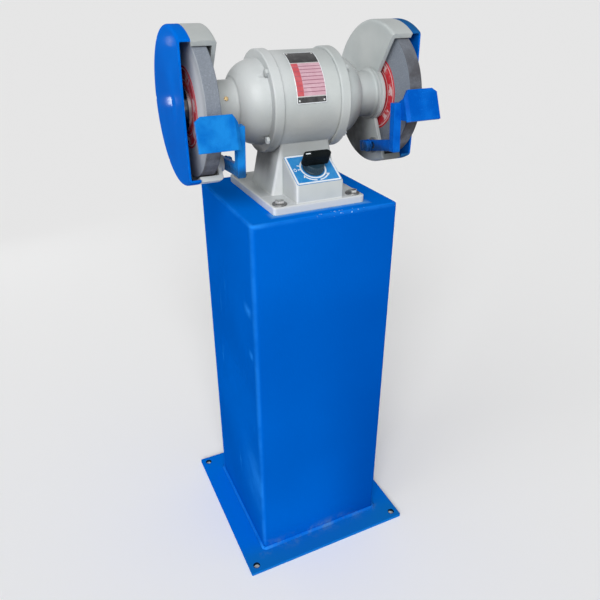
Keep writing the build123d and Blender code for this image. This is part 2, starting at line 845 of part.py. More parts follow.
with BuildPart() as rest_table:
    with BuildSketch(table_plane):
        with BuildLine():
            Polyline(
                (0, -table_height),
                (table_width, -table_height),
                (table_width, -outer_chamfer_height),
                (table_width - outer_chamfer_width, 0),
                (inner_chamfer_width, 0),
                (0, -inner_chamfer_height),
                close=True,
            )
        make_face()
    extrude(amount=table_thickness)
    with BuildSketch(Plane(origin=table_plane.origin, x_dir=(1, 0, 0), z_dir=-table_plane.y_dir)):
        with BuildLine():
            Polyline(
                (0, table_thickness - table_band_depth),
                (table_band, table_thickness),
                (0, table_thickness),
                close=True,
            )
        make_face()
    extrude(amount=table_height, mode=Mode.SUBTRACT)
    front_face = rest_table.faces().sort_by(Axis(table_plane.origin, table_plane.z_dir))[-1]
    fillet(front_face.edges(), radius=table_edge)
    # Lug behind the table, flat against the side of the upright
    with BuildSketch(rest_plane):
        lug_low = table_foot_t + lug_margin
        lug_high = table_top_t - inner_chamfer_height * cos(lean)
        back_low = table_foot_s - lug_margin * tan(lean)
        back_high = back_low - (lug_high - lug_low) * tan(lean)
        with BuildLine():
            Polyline(
                (upright_heel, lug_low),
                (back_low + table_edge, lug_low),
                (back_high + table_edge, lug_high),
                (upright_heel, upright_top - lug_margin),
                close=True,
            )
        make_face()
    extrude(amount=-lug_thickness)

with BuildPart() as rest_washer:
    with BuildSketch(rest_plane.offset(arm_thickness)):
        Circle(rest_washer_size / 2)
        Circle(rest_bolt_size / 2, mode=Mode.SUBTRACT)
    extrude(amount=rest_washer_thickness)

with BuildPart() as rest_bolt:
    with BuildSketch(rest_plane.offset(arm_thickness + rest_washer_thickness)):
        RegularPolygon(rest_bolt_flats / 2, 6, major_radius=False)
    extrude(amount=rest_bolt_head)
    with BuildSketch(rest_plane.offset(rest_bolt_short - rest_clear - rest_boss - guard_wall)):
        Circle(rest_bolt_size / 2)
    bolt_grip = rest_boss + guard_wall + rest_clear - rest_bolt_short
    extrude(amount=bolt_grip + arm_thickness + rest_washer_thickness)


def rest_slide(tilt):
    """Slide along the arm that keeps the table's top edge at its gap from the wheel."""
    turn = radians(tilt)
    top_y = rest_bolt_y - table_top_s * cos(turn) + table_top_t * sin(turn)
    top_z = rest_bolt_z + table_top_s * sin(turn) + table_top_t * cos(turn)
    reach = top_z * sin(turn + climb) - top_y * cos(turn + climb)
    return sqrt(reach**2 - top_y**2 - top_z**2 + wheel_stand_off**2) - reach


def set_rest(piece, tilt, slide):
    """Rest piece slid out along its arm, then tilted up at the front about its bolt."""
    slid = Pos(0, -slide * cos(climb), slide * sin(climb)) * piece
    return slid.rotate(rest_pivot, -tilt)


# The right rest is tilted up at the front and slid out, the left one down and slid in
for name, piece, slides in (
    ("rest_bracket", rest_bracket.part, True),
    ("rest_table", rest_table.part, True),
    ("rest_washer", rest_washer.part, False),
    ("rest_bolt", rest_bolt.part, False),
):
    right_slide = rest_slide(rest_tilt) if slides else 0
    left_slide = rest_slide(-rest_tilt) if slides else 0
    save(set_rest(piece, rest_tilt, right_slide), f"right_{name}")
    save(mirror(set_rest(piece, -rest_tilt, left_slide), about=Plane.YZ), f"left_{name}")

# Rotary switch: body under the slope, dial plate on it, knob and spindle above
dial_width = box_width - 2 * dial_side_margin
dial_height = box_reach / cos(radians(dial_slope)) - 2 * dial_end_margin
with BuildPart() as dial_plate:
    with BuildSketch(dial_plane):
        RectangleRounded(dial_width, dial_height, dial_corner)
        Circle(switch_neck / 2 + switch_neck_room, mode=Mode.SUBTRACT)
    extrude(amount=dial_thickness)
save(dial_plate.part, "dial_plate")

with BuildPart() as switch_body:
    with BuildSketch(dial_plane.offset(-box_wall)):
        RectangleRounded(switch_side, switch_side, dial_corner)
    extrude(amount=-switch_depth)
    with BuildSketch(dial_plane.offset(-box_wall)):
        Circle(switch_neck / 2)
    extrude(amount=box_wall + dial_thickness)
    with BuildSketch(dial_plane.offset(dial_thickness)):
        Circle(switch_spindle_size / 2 + switch_spindle_room)
    extrude(amount=-switch_spindle_depth, mode=Mode.SUBTRACT)
save(switch_body.part, "switch_body")

knob_seat = dial_thickness + knob_gap
knob_top = knob_seat + knob_base_height + knob_grip_height
with BuildPart() as switch_knob:
    with BuildSketch(dial_plane.offset(knob_seat)):
        Circle(knob_base_size / 2)
    extrude(amount=knob_base_height)
    with BuildSketch(dial_plane.offset(knob_seat + knob_base_height)):
        SlotOverall(knob_grip_length, knob_grip_width)
    extrude(amount=knob_grip_height)
    fillet(switch_knob.faces().sort_by(Axis(dial_plane.origin, dial_plane.z_dir))[-1].edges(), radius=knob_edge)
    with BuildSketch(dial_plane.offset(knob_seat)):
        Circle(switch_spindle_size / 2)
    extrude(amount=knob_top - knob_seat - knob_wall, mode=Mode.SUBTRACT)
save(switch_knob.part, "switch_knob")

with BuildPart() as switch_spindle:
    with BuildSketch(dial_plane.offset(dial_thickness - switch_spindle_depth + knob_gap)):
        Circle(switch_spindle_size / 2)
    extrude(amount=switch_spindle_depth - dial_thickness - knob_gap + knob_top - knob_wall)
save(switch_spindle.part, "switch_spindle")

# Cable gland, open for a lead
with BuildPart() as cable_gland:
    with BuildSketch(gland_plane.offset(-foot_wall)):
        Circle(gland_stem / 2)
    extrude(amount=foot_wall)
    with BuildSketch(gland_plane):
        RegularPolygon(gland_flats / 2, 6, major_radius=False)
    extrude(amount=gland_hex_length)
    with BuildSketch(gland_plane.offset(gland_hex_length)):
        Circle(gland_cap_size / 2)
    extrude(amount=gland_cap_length)
    fillet(cable_gland.faces().sort_by(Axis.Y)[-1].edges(), radius=gland_edge)
    with BuildSketch(gland_plane.offset(-foot_wall)):
        Circle(gland_bore / 2)
    extrude(amount=foot_wall + gland_hex_length + gland_cap_length, mode=Mode.SUBTRACT)
save(cable_gland.part, "cable_gland")

# Capacitor lying on the column top under its clip
capacitor_z = column_top + capacitor_size / 2
clip_inner = capacitor_size / 2 + clip_room
clip_outer = clip_inner + clip_thickness
capacitor_plane = Plane(origin=(0, capacitor_behind, capacitor_z), x_dir=(0, 1, 0), z_dir=(1, 0, 0))
with BuildPart() as capacitor:
    with BuildSketch(capacitor_plane):
        Circle(capacitor_size / 2)
    extrude(amount=capacitor_length / 2, both=True)
    with BuildSketch(capacitor_plane.offset(capacitor_length / 2)):
        with GridLocations(capacitor_size / 2, 0, 2, 1):
            Circle(capacitor_terminal / 2)
    extrude(amount=capacitor_terminal)
save(capacitor.part, "capacitor")

with BuildPart() as capacitor_clip:
    with BuildSketch(capacitor_plane):
        Circle(clip_outer)
        with Locations((0, -capacitor_size / 2)):
            Rectangle(2 * clip_outer, capacitor_size / 2, align=(Align.CENTER, Align.MIN))
            Rectangle(2 * (clip_outer + clip_foot), clip_thickness, align=(Align.CENTER, Align.MIN))
        Circle(clip_inner, mode=Mode.SUBTRACT)
        with Locations((0, -capacitor_size / 2)):
            Rectangle(2 * clip_inner, capacitor_size / 2, align=(Align.CENTER, Align.MIN), mode=Mode.SUBTRACT)
            Rectangle(2 * clip_outer, capacitor_size, align=(Align.CENTER, Align.MAX), mode=Mode.SUBTRACT)
    extrude(amount=clip_width / 2, both=True)
    with BuildSketch(Plane.XY.offset(column_top)):
        with Locations((0, capacitor_behind)):
            with GridLocations(0, clip_screw_pitch, 1, 2):
                Circle(clip_screw_size / 2)
    extrude(amount=clip_thickness, mode=Mode.SUBTRACT)
save(capacitor_clip.part, "capacitor_clip")

with BuildPart() as clip_screws:
    with BuildSketch(Plane.XY.offset(column_top + clip_thickness)):
        with Locations((0, capacitor_behind)):
            with GridLocations(0, clip_screw_pitch, 1, 2):
                Circle(clip_screw_head / 2)
    extrude(amount=clip_screw_head_height)
    with BuildSketch(Plane.XY.offset(column_top - top_thickness)):
        with Locations((0, capacitor_behind)):
            with GridLocations(0, clip_screw_pitch, 1, 2):
                Circle(clip_screw_size / 2)
    extrude(amount=top_thickness + clip_thickness)
save(clip_screws.part, "clip_screws")


# Curved name plate on the barrel, with a rivet near each corner
def barrel_plane(angle, radius):
    """Plane on the barrel at an angle up from the front, facing outwards, with its first axis along +X."""
    outward = (0, -cos(radians(angle)), sin(radians(angle)))
    place = (0, radius * outward[1], spindle_z + radius * outward[2])
    return Plane(origin=place, x_dir=(1, 0, 0), z_dir=outward)


plate_seat = barrel_radius + name_plate_gap
plate_radius = plate_seat + name_plate_thickness
plate_start = Plane(
    origin=(0, 0, spindle_z),
    x_dir=(1, 0, 0),
    z_dir=(0, -sin(radians(name_plate_from)), -cos(radians(name_plate_from))),
)
with BuildPart() as name_plate:
    with BuildSketch(plate_start):
        with Locations((name_plate_shift, plate_seat)):
            Rectangle(name_plate_width, name_plate_thickness, align=(Align.CENTER, Align.MIN))
    revolve(axis=spindle_axis, revolution_arc=-(name_plate_to - name_plate_from))
save(name_plate.part, "name_plate")

rivet_turn = rivet_inset / radians(1) / plate_radius
with BuildPart() as name_plate_rivets:
    for angle in (name_plate_from + rivet_turn, name_plate_to - rivet_turn):
        with BuildSketch(barrel_plane(angle, plate_radius)):
            with Locations((name_plate_shift, 0)):
                with GridLocations(name_plate_width - 2 * rivet_inset, 0, 2, 1):
                    Circle(rivet_radius)
        extrude(amount=rivet_height)
save(name_plate_rivets.part, "name_plate_rivets")
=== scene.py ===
import json
import bpy
import bmesh
from math import cos, pi, radians, sin
from mathutils import Matrix, Vector


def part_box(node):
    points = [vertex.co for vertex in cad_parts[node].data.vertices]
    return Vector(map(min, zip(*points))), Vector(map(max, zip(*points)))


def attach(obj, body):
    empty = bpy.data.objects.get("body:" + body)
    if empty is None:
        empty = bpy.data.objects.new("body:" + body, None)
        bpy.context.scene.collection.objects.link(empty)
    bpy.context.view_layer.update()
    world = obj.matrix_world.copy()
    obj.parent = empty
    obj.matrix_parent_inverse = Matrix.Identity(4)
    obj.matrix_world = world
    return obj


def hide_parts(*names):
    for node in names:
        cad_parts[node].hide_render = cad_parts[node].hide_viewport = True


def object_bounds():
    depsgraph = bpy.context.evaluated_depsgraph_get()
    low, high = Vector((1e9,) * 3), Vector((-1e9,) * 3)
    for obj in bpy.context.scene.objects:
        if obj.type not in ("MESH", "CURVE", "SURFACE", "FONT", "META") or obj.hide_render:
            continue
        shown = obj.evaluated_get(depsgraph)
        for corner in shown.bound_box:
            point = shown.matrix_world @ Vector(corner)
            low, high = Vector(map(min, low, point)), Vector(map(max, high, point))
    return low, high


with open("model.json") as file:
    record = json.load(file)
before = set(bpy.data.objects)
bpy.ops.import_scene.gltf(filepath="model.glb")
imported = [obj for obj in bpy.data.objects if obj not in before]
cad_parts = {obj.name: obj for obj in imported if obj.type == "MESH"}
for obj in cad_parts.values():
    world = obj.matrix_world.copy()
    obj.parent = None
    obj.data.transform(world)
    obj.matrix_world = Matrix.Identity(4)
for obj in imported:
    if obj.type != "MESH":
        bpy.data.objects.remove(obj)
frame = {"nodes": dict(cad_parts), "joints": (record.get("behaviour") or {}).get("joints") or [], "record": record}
cad_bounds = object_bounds()
nodes = frame["nodes"]
joints = {joint["name"]: joint for joint in frame["joints"]}
scene = bpy.context.scene

# Places taken from the frame, in metres
SPINDLE = Vector(joints["spindle_spin"]["pos_m"])
DIAL_CENTRE = Vector(joints["switch_turn"]["pos_m"])
DIAL_NORMAL = -Vector(joints["switch_turn"]["axis"]).normalized()
COLUMN_LOW, COLUMN_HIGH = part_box("column_shell")
BASE_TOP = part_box("base_plate")[1].z
COLUMN_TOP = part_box("column_top_plate")[1].z
COLUMN_HALF = COLUMN_HIGH.x
WASHERS_LOW, WASHERS_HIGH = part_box("foot_washers")
FLANGE_TOP = WASHERS_LOW.z
# The flange's edge stands a little outside its washers
FLANGE_HALF_WIDTH = WASHERS_HIGH.x + 0.0035
FLANGE_HALF_DEPTH = WASHERS_HIGH.y + 0.0025
ANCHORS = next(mount["dims"] for mount in frame["record"]["mounts"] if mount["name"] == "anchor_holes")
ANCHOR_REACH = ANCHORS["spacing_x_mm"] / 2000
ANCHOR_RADIUS = ANCHORS["hole_r_mm"] / 1000


# Camera at the photograph's viewing angle
CAMERA_PLACE = Vector((-0.3925, -0.855, 0.986))
CAMERA_YAW = radians(25.3)
CAMERA_PITCH = radians(28.4)
CAMERA_LENS = 34.68

camera_data = bpy.data.cameras.new("camera")
camera_data.lens = CAMERA_LENS
camera_data.sensor_width = 36.0
camera = bpy.data.objects.new("camera", camera_data)
camera.location = CAMERA_PLACE
camera.rotation_euler = (pi / 2 - CAMERA_PITCH, 0, -CAMERA_YAW)
scene.collection.objects.link(camera)
scene.camera = camera
scene.view_settings.view_transform = "Standard"


# Helpers for shader trees, which add to the group, material or world that is being made.
# A value given to a socket is either a constant or another socket.
tree = None


def put(kind, inputs=None, **settings):
    node = tree.nodes.new("ShaderNode" + kind)
    for key, value in settings.items():
        setattr(node, key, value)
    for key, value in (inputs or {}).items():
        if isinstance(value, bpy.types.NodeSocket):
            tree.links.new(value, node.inputs[key])
        else:
            node.inputs[key].default_value = value
    return node


def sums(operation, *values):
    return put("Math", dict(enumerate(values)), operation=operation).outputs[0]


def chain(operation, values):
    total = values[0]
    for value in values[1:]:
        total = sums(operation, total, value)
    return total


def product(*values):
    return chain("MULTIPLY", values)


def highest(*values):
    return chain("MAXIMUM", values)


def less(first, second):
    return sums("SUBTRACT", first, second)


def size_of(value):
    return sums("ABSOLUTE", value)


def distance(first, second):
    """Straight distance from two distances at right angles."""
    square = sums("ADD", product(first, first), product(second, second))
    return sums("SQRT", square)


def ramp(value, low, high, start=0.0, end=1.0):
    """Value taken from low..high to start..end, held at both ends."""
    inputs = {"Value": value, "From Min": low, "From Max": high, "To Min": start, "To Max": end}
    return put("MapRange", inputs, interpolation_type="SMOOTHSTEP").outputs[0]


def patch(*limits):
    """Place on the surface where several ramps meet, each limit holding what one ramp takes."""
    return product(*[ramp(*limit) for limit in limits])


def tint(factor, first, second):
    return put("Mix", {0: factor, 6: first, 7: second}, data_type="RGBA").outputs[2]


def place_on():
    return put("TexCoord").outputs["Object"]


def stretched(spot, scale):
    return put("Mapping", {"Vector": spot, "Scale": scale}).outputs[0]


def cloud(spot, scale, detail=3.0, roughness=0.55):
    inputs = {"Vector": spot, "Scale": scale, "Detail": detail, "Roughness": roughness}
    return put("TexNoise", inputs).outputs[0]


def mottled(spot, scale, detail, low, high, start=0.0, end=1.0):
    """Cloud taken from low..high to start..end."""
    return ramp(cloud(spot, scale, detail), low, high, start, end)


def cells(spot, scale):
    return put("TexVoronoi", {"Vector": spot, "Scale": scale}).outputs


def axes_of(spot):
    return put("SeparateXYZ", {0: spot}).outputs


def upward():
    """How far a face looks up."""
    return axes_of(put("NewGeometry").outputs["Normal"])["Z"]


def start_group(name, takes, gives):
    """New node group with its inputs and outputs, which the helpers then add to."""
    global tree
    group = bpy.data.node_groups.new(name, "ShaderNodeTree")
    for label, kind, value in takes:
        socket = group.interface.new_socket(label, in_out="INPUT", socket_type=kind)
        socket.default_value = value
    for label, kind in gives:
        group.interface.new_socket(label, in_out="OUTPUT", socket_type=kind)
    entry = group.nodes.new("NodeGroupInput").outputs
    leave = group.nodes.new("NodeGroupOutput").inputs
    tree = group
    return group, entry, leave


def use(group, **values):
    return put("Group", values, node_tree=group).outputs


NUMBER = "NodeSocketFloat"
COLOUR = "NodeSocketColor"
VECTOR = "NodeSocketVector"
BLACK = (0, 0, 0, 1)
WHITE = (1, 1, 1, 1)

# Worn edges: where the eased normal leaves the face's own normal, broken up by noise
worn_edges, entry, leave = start_group(
    "worn_edges",
    [("Radius", NUMBER, 0.0015), ("Breakup", NUMBER, 60.0), ("Cover", NUMBER, 0.5)],
    [("Mask", NUMBER), ("Normal", VECTOR)],
)
eased = put("Bevel", {"Radius": entry["Radius"]}, samples=6).outputs[0]
own = put("NewGeometry").outputs["Normal"]
agree = put("VectorMath", {0: eased, 1: own}, operation="DOT_PRODUCT").outputs["Value"]
edge = ramp(agree, 0.995, 0.93)
patchy = cloud(place_on(), entry["Breakup"], 4.0, 0.65)
gap = less(1.0, entry["Cover"])
kept = ramp(patchy, gap, sums("ADD", gap, 0.12))
worn_edges.links.new(product(edge, kept), leave["Mask"])
worn_edges.links.new(eased, leave["Normal"])

# Paint tone: two shades drifting over the surface, with a fine mottle
paint_tone, entry, leave = start_group(
    "paint_tone",
    [("Deep", COLOUR, BLACK), ("Bright", COLOUR, WHITE), ("Drift", NUMBER, 6.0), ("Mottle", NUMBER, 0.2)],
    [("Colour", COLOUR)],
)
spot = place_on()
wide = mottled(spot, entry["Drift"], 2.0, 0.3, 0.7)
fine = less(cloud(spot, 420.0, 2.0), 0.5)
mixed = sums("MULTIPLY_ADD", fine, entry["Mottle"], wide)
paint_tone.links.new(tint(mixed, entry["Deep"], entry["Bright"]), leave["Colour"])

# Orange peel: the shallow ripple of sprayed enamel over a coarser waviness of the sheet
orange_peel, entry, leave = start_group(
    "orange_peel",
    [("Grain", NUMBER, 320.0), ("Wave", NUMBER, 14.0), ("Share", NUMBER, 0.5)],
    [("Height", NUMBER)],
)
spot = place_on()
peel = cloud(spot, entry["Grain"], 2.0, 0.5)
wave = cloud(spot, entry["Wave"], 1.0, 0.4)
height = sums("MULTIPLY_ADD", wave, entry["Share"], peel)
orange_peel.links.new(height, leave["Height"])

# Cast skin: sand texture, soft lumps and a few pits under the paint
cast_skin, entry, leave = start_group(
    "cast_skin",
    [("Sand", NUMBER, 700.0), ("Lumps", NUMBER, 60.0)],
    [("Height", NUMBER)],
)
spot = place_on()
sand = cloud(spot, entry["Sand"], 3.0, 0.6)
lumps = cloud(spot, entry["Lumps"], 2.0, 0.5)
pits = ramp(cells(spot, 90.0)["Distance"], 0.0, 0.16)
rough_lumps = sums("MULTIPLY_ADD", sand, 0.35, lumps)
cast_skin.links.new(sums("MULTIPLY_ADD", pits, 0.25, rough_lumps), leave["Height"])

# Settled dust: a broken film that gathers where a wall meets a floor at the given height
settled_dust, entry, leave = start_group(
    "settled_dust",
    [("Wall", NUMBER, 0.1), ("Floor", NUMBER, 0.0), ("Spread", NUMBER, 0.02)],
    [("Mask", NUMBER)],
)
spot = place_on()
across, along, up = axes_of(spot)
reach = highest(size_of(across), size_of(along))
from_wall = less(reach, entry["Wall"])
from_floor = less(up, entry["Floor"])
near = ramp(highest(from_wall, from_floor), entry["Spread"], 0.0)
broken = ramp(cloud(spot, 30.0, 5.0, 0.65), 0.46, 0.72)
settled_dust.links.new(product(near, broken), leave["Mask"])

# Scuffs: short rubbed streaks, stretched one way
scuffs, entry, leave = start_group(
    "scuffs",
    [("Stretch", VECTOR, (1, 1, 1)), ("Scale", NUMBER, 40.0), ("Cover", NUMBER, 0.3)],
    [("Mask", NUMBER)],
)
spot = place_on()
drawn = put("VectorMath", {0: spot, 1: entry["Stretch"]}, operation="MULTIPLY").outputs[0]
streak = cloud(drawn, entry["Scale"], 4.0, 0.7)
edge_low = less(0.85, entry["Cover"])
hit = ramp(streak, edge_low, sums("ADD", edge_low, 0.12))
where = mottled(spot, 9.0, 2.0, 0.5, 0.66)
scuffs.links.new(product(hit, where), leave["Mask"])

# Finishes
SHADER = "Principled BSDF"


def finish(name, roughness, metallic=0.0, specular=0.5, coat=0.0, coat_roughness=0.1):
    """New material with the values that are the same all over it, which the helpers then add to."""
    global tree
    made = bpy.data.materials.new(name)
    made.use_nodes = True
    tree = made.node_tree
    sockets = tree.nodes[SHADER].inputs
    sockets["Roughness"].default_value = roughness
    sockets["Metallic"].default_value = metallic
    sockets["Specular IOR Level"].default_value = specular
    sockets["Coat Weight"].default_value = coat
    sockets["Coat Roughness"].default_value = coat_roughness
    return made


def dress(made, colour, height, depth, normal=None, roughness=None):
    """Gives the material being made its colour, its relief and, where it varies, its roughness."""
    sockets = tree.nodes[SHADER].inputs
    tree.links.new(colour, sockets["Base Color"])
    inputs = {"Height": height, "Distance": depth, "Strength": 1.0}
    if normal is not None:
        inputs["Normal"] = normal
    tree.links.new(put("Bump", inputs).outputs[0], sockets["Normal"])
    if roughness is not None:
        tree.links.new(roughness, sockets["Roughness"])
    return made


def from_spindle(spot):
    """Distance of a place from the spindle's axis, and its turn about that axis."""
    across, along, up = axes_of(spot)
    rise = less(up, SPINDLE.z)
    return distance(along, rise), sums("ARCTAN2", rise, along)


DEEP_BLUE = (0.0, 0.084, 0.43, 1)
BRIGHT_BLUE = (0.0, 0.106, 0.52, 1)
COVER_DEEP = (0.0, 0.105, 0.52, 1)
COVER_BRIGHT = (0.0, 0.135, 0.62, 1)
LEFT_REST_DEEP = (0.003, 0.135, 0.50, 1)
LEFT_REST_BRIGHT = (0.010, 0.21, 0.62, 1)
RIGHT_REST_DEEP = (0.0, 0.078, 0.42, 1)
RIGHT_REST_BRIGHT = (0.002, 0.115, 0.52, 1)
# Blue for painted light on upward faces and upper parts
PAINTED_TOP_LIGHT_BLUE = (0.0, 0.150, 0.67, 1)
SHADED_BLUE = (0.0, 0.045, 0.28, 1)
# Paler blue for worn paint, and for painted highlights on the column's bends and corners
WEAR_AND_HIGHLIGHT_BLUE = (0.018, 0.24, 0.80, 1)
CHIPPED = (0.36, 0.58, 0.82, 1)
DUST = (0.12, 0.25, 0.34, 1)
FRONT_STRIP = (0.004, 0.145, 0.50, 1)
FOOT_REFLECTION_BLUE = (0.13, 0.36, 0.66, 1)
HOLE_SHADE = (0.004, 0.016, 0.035, 1)
RIGHT_LIP_DARK = (0.012, 0.085, 0.20, 1)
ARM_SHADE = (0.012, 0.040, 0.085, 1)
# Rub marks on the column's left face: middle along and up the face, half width and half height
SMUDGES = ((-0.094, 0.533, 0.024, 0.016), (-0.100, 0.451, 0.014, 0.012))


def column_enamel():
    """Blue enamel on sheet steel: painted highlights on its bends, painted light and shade, scuffed on the left,
    chipped at the top and dusty at the weld.
    """
    made = finish("column_enamel", 0.42, specular=0.0)
    spot = place_on()
    across, along, up = axes_of(spot)
    wide = size_of(across)
    deep = size_of(along)
    out = highest(wide, deep)
    above_plate = less(up, BASE_TOP)
    flat = upward()
    colour = use(paint_tone, Deep=DEEP_BLUE, Bright=BRIGHT_BLUE, Drift=3.0, Mottle=0.2)[0]
    # Painted light: upward faces lighter. Painted shade: darker towards the right and the bottom.
    colour = tint(ramp(flat, 0.6, 0.95), colour, PAINTED_TOP_LIGHT_BLUE)
    shaded = patch((across, -0.04, 0.125), (up, 0.60, 0.05, 0.3, 0.75), (flat, 0.9, 0.5))
    colour = tint(shaded, colour, SHADED_BLUE)
    strip = patch((above_plate, 0.002, 0.0005), (along, -0.095, -0.150))
    colour = tint(strip, colour, FRONT_STRIP)

    # Painted highlights along the bends, the top brim and the weld bead, where the enamel would mirror the pale
    # floor; streaks and smudges on the left face are rubbed paint.
    bend_highlight = patch(
        (deep, COLUMN_HALF - 0.016, COLUMN_HALF - 0.004),
        (wide, COLUMN_HALF - 0.006, COLUMN_HALF - 0.002),
        (above_plate, 0.001, 0.005),
    )
    brim = sums("MINIMUM", out, less(up, COLUMN_TOP - COLUMN_HALF))
    rim = ramp(brim, COLUMN_HALF - 0.0080, COLUMN_HALF - 0.0015)
    bead = patch((above_plate, 0.0002, 0.0012), (less(out, COLUMN_HALF), 0.0002, 0.0012))
    rubbed = product(highest(bend_highlight, bead, rim), mottled(spot, 28.0, 4.0, 0.3, 0.65, 0.10, 0.30))
    on_left = ramp(across, -0.120, -0.1235)
    streaks = use(scuffs, Stretch=(1.0, 1.0, 0.22), Scale=46.0, Cover=0.27)["Mask"]
    streaks = product(streaks, on_left, ramp(up, 0.62, 0.40, 0.0, 0.4))
    smear = patch((along, -0.010, -0.095), (above_plate, 0.06, 0.13), (up, 0.26, 0.17))
    smear = product(on_left, smear, mottled(spot, 20.0, 4.0, 0.25, 0.7, 0.1, 0.45))
    for y, z, half_width, half_height in SMUDGES:
        beside = size_of(less(along, y))
        level = size_of(less(up, z))
        smudge = patch((beside, half_width, 0.0), (level, half_height, 0.0))
        smudge = product(on_left, smudge, mottled(spot, 55.0, 4.0, 0.3, 0.7, 0.2, 0.7))
        smear = highest(smear, smudge)
    # Painted highlight at the front-left corners of the brim and the weld bead.
    corner = patch((across, -0.080, -0.121), (along, -0.100, -0.121, 0.0, 0.75))
    corner = product(corner, highest(bead, rim))
    colour = tint(highest(rubbed, streaks, smear, corner), colour, WEAR_AND_HIGHLIGHT_BLUE)

    near_top = ramp(up, COLUMN_TOP - 0.007, COLUMN_TOP - 0.002)
    front_middle = patch(
        (along, -COLUMN_HALF + 0.010, -COLUMN_HALF + 0.003),
        (across, -0.022, -0.004),
        (across, 0.068, 0.050),
    )
    flaked = ramp(cells(spot, 230.0)["Distance"], 0.36, 0.28)
    chips = product(flaked, mottled(spot, 90.0, 2.0, 0.48, 0.53), near_top, front_middle)
    colour = tint(chips, colour, CHIPPED)
    # Painted reflection of the foot's flange, a pale band on the column's top beside the foot.
    beside_foot = highest(less(wide, FLANGE_HALF_WIDTH), less(deep, FLANGE_HALF_DEPTH))
    foot_reflection = patch((beside_foot, 0.011, 0.0), (along, -0.080, -0.098))
    foot_reflection = product(near_top, foot_reflection, mottled(spot, 60.0, 3.0, 0.25, 0.6, 0.35, 0.75))
    colour = tint(foot_reflection, colour, FOOT_REFLECTION_BLUE)
    front = patch((along, -COLUMN_HALF + 0.008, -COLUMN_HALF), (across, 0.11, -0.02, 0.25, 0.6))
    dust = use(settled_dust, Wall=COLUMN_HALF, Floor=BASE_TOP, Spread=0.026)["Mask"]
    dust = product(dust, front)
    colour = tint(dust, colour, DUST)
    # Painted shade on the walls of the anchor holes.
    from_hole = distance(less(wide, ANCHOR_REACH), less(deep, ANCHOR_REACH))
    hole_wall = ramp(from_hole, ANCHOR_RADIUS + 0.0009, ANCHOR_RADIUS + 0.0002)
    colour = tint(hole_wall, colour, HOLE_SHADE)

    grime = sums("ADD", cloud(spot, 18.0, 4.0), dust)
    edges = use(worn_edges, Radius=0.0012, Breakup=45.0, Cover=0.5)
    skin = use(orange_peel, Grain=260.0, Wave=9.0, Share=2.5)["Height"]
    roughness = ramp(grime, 0.3, 0.9, 0.34, 0.55)
    return dress(made, colour, less(skin, chips), 0.0002, edges["Normal"], roughness)


def cover_enamel():
    """Glossier blue enamel on the pressed covers."""
    made = finish("cover_enamel", 0.25, specular=0.0, coat=0.022, coat_roughness=0.07)
    spot = place_on()
    axes = axes_of(spot)
    rise = less(axes["Z"], SPINDLE.z)
    colour = use(paint_tone, Deep=COVER_DEEP, Bright=COVER_BRIGHT, Drift=9.0, Mottle=0.2)[0]
    # Painted shade on the lower part of the cover, painted light on its upper part.
    colour = tint(ramp(rise, 0.02, -0.08, 0.0, 0.35), colour, DEEP_BLUE)
    colour = tint(ramp(rise, 0.03, 0.10, 0.0, 0.35), colour, PAINTED_TOP_LIGHT_BLUE)
    # The right cover's rim is darker.
    lip = patch((from_spindle(spot)[0], 0.103, 0.109), (axes["X"], 0.0, 0.1))
    lip = product(lip, mottled(spot, 45.0, 4.0, 0.25, 0.65, 0.55, 0.9))
    colour = tint(lip, colour, RIGHT_LIP_DARK)
    edges = use(worn_edges, Radius=0.0012, Breakup=110.0, Cover=0.5)
    colour = tint(product(edges["Mask"], 0.6), colour, WEAR_AND_HIGHLIGHT_BLUE)
    rubbed = use(scuffs, Stretch=(1.0, 0.4, 1.6), Scale=70.0, Cover=0.22)["Mask"]
    colour = tint(product(rubbed, 0.2), colour, WEAR_AND_HIGHLIGHT_BLUE)
    skin = use(orange_peel, Grain=300.0, Wave=22.0, Share=1.5)["Height"]
    roughness = mottled(spot, 30.0, 3.0, 0.3, 0.8, 0.18, 0.34)
    return dress(made, colour, skin, 0.0002, edges["Normal"], roughness)


def rest_enamel():
    """Blue paint on the tool rests, brushed on, paler on the left rest, speckled with grinding dust and with
    painted shade on the lower arms.
    """
    made = finish("rest_enamel", 0.34, specular=0.02)
    spot = place_on()
    axes = axes_of(spot)
    side = ramp(axes["X"], -0.1, 0.1)
    deep = tint(side, LEFT_REST_DEEP, RIGHT_REST_DEEP)
    bright = tint(side, LEFT_REST_BRIGHT, RIGHT_REST_BRIGHT)
    colour = use(paint_tone, Deep=deep, Bright=bright, Drift=38.0, Mottle=0.5)[0]
    speckle = ramp(cells(spot, 330.0)["Distance"], 0.3, 0.12)
    speckle = product(speckle, mottled(spot, 60.0, 3.0, 0.46, 0.62), 0.35)
    colour = tint(speckle, colour, WEAR_AND_HIGHLIGHT_BLUE)
    low = less(axes["Z"], SPINDLE.z)
    # Painted shade on the lower arms of both rests, deeper towards the motor.
    arm_shade = patch((low, -0.066, -0.078), (size_of(axes["X"]), 0.165, 0.120, 0.35, 0.9))
    arm_shade = product(arm_shade, mottled(spot, 50.0, 4.0, 0.2, 0.65, 0.6, 1.0))
    colour = tint(arm_shade, colour, ARM_SHADE)
    edges = use(worn_edges, Radius=0.0014, Breakup=90.0, Cover=0.55)
    colour = tint(product(edges["Mask"], 0.5), colour, WEAR_AND_HIGHLIGHT_BLUE)
    skin = use(cast_skin, Sand=520.0, Lumps=170.0)["Height"]
    roughness = mottled(spot, 90.0, 3.0, 0.3, 0.75, 0.24, 0.48)
    return dress(made, colour, skin, 0.0006, edges["Normal"], roughness)


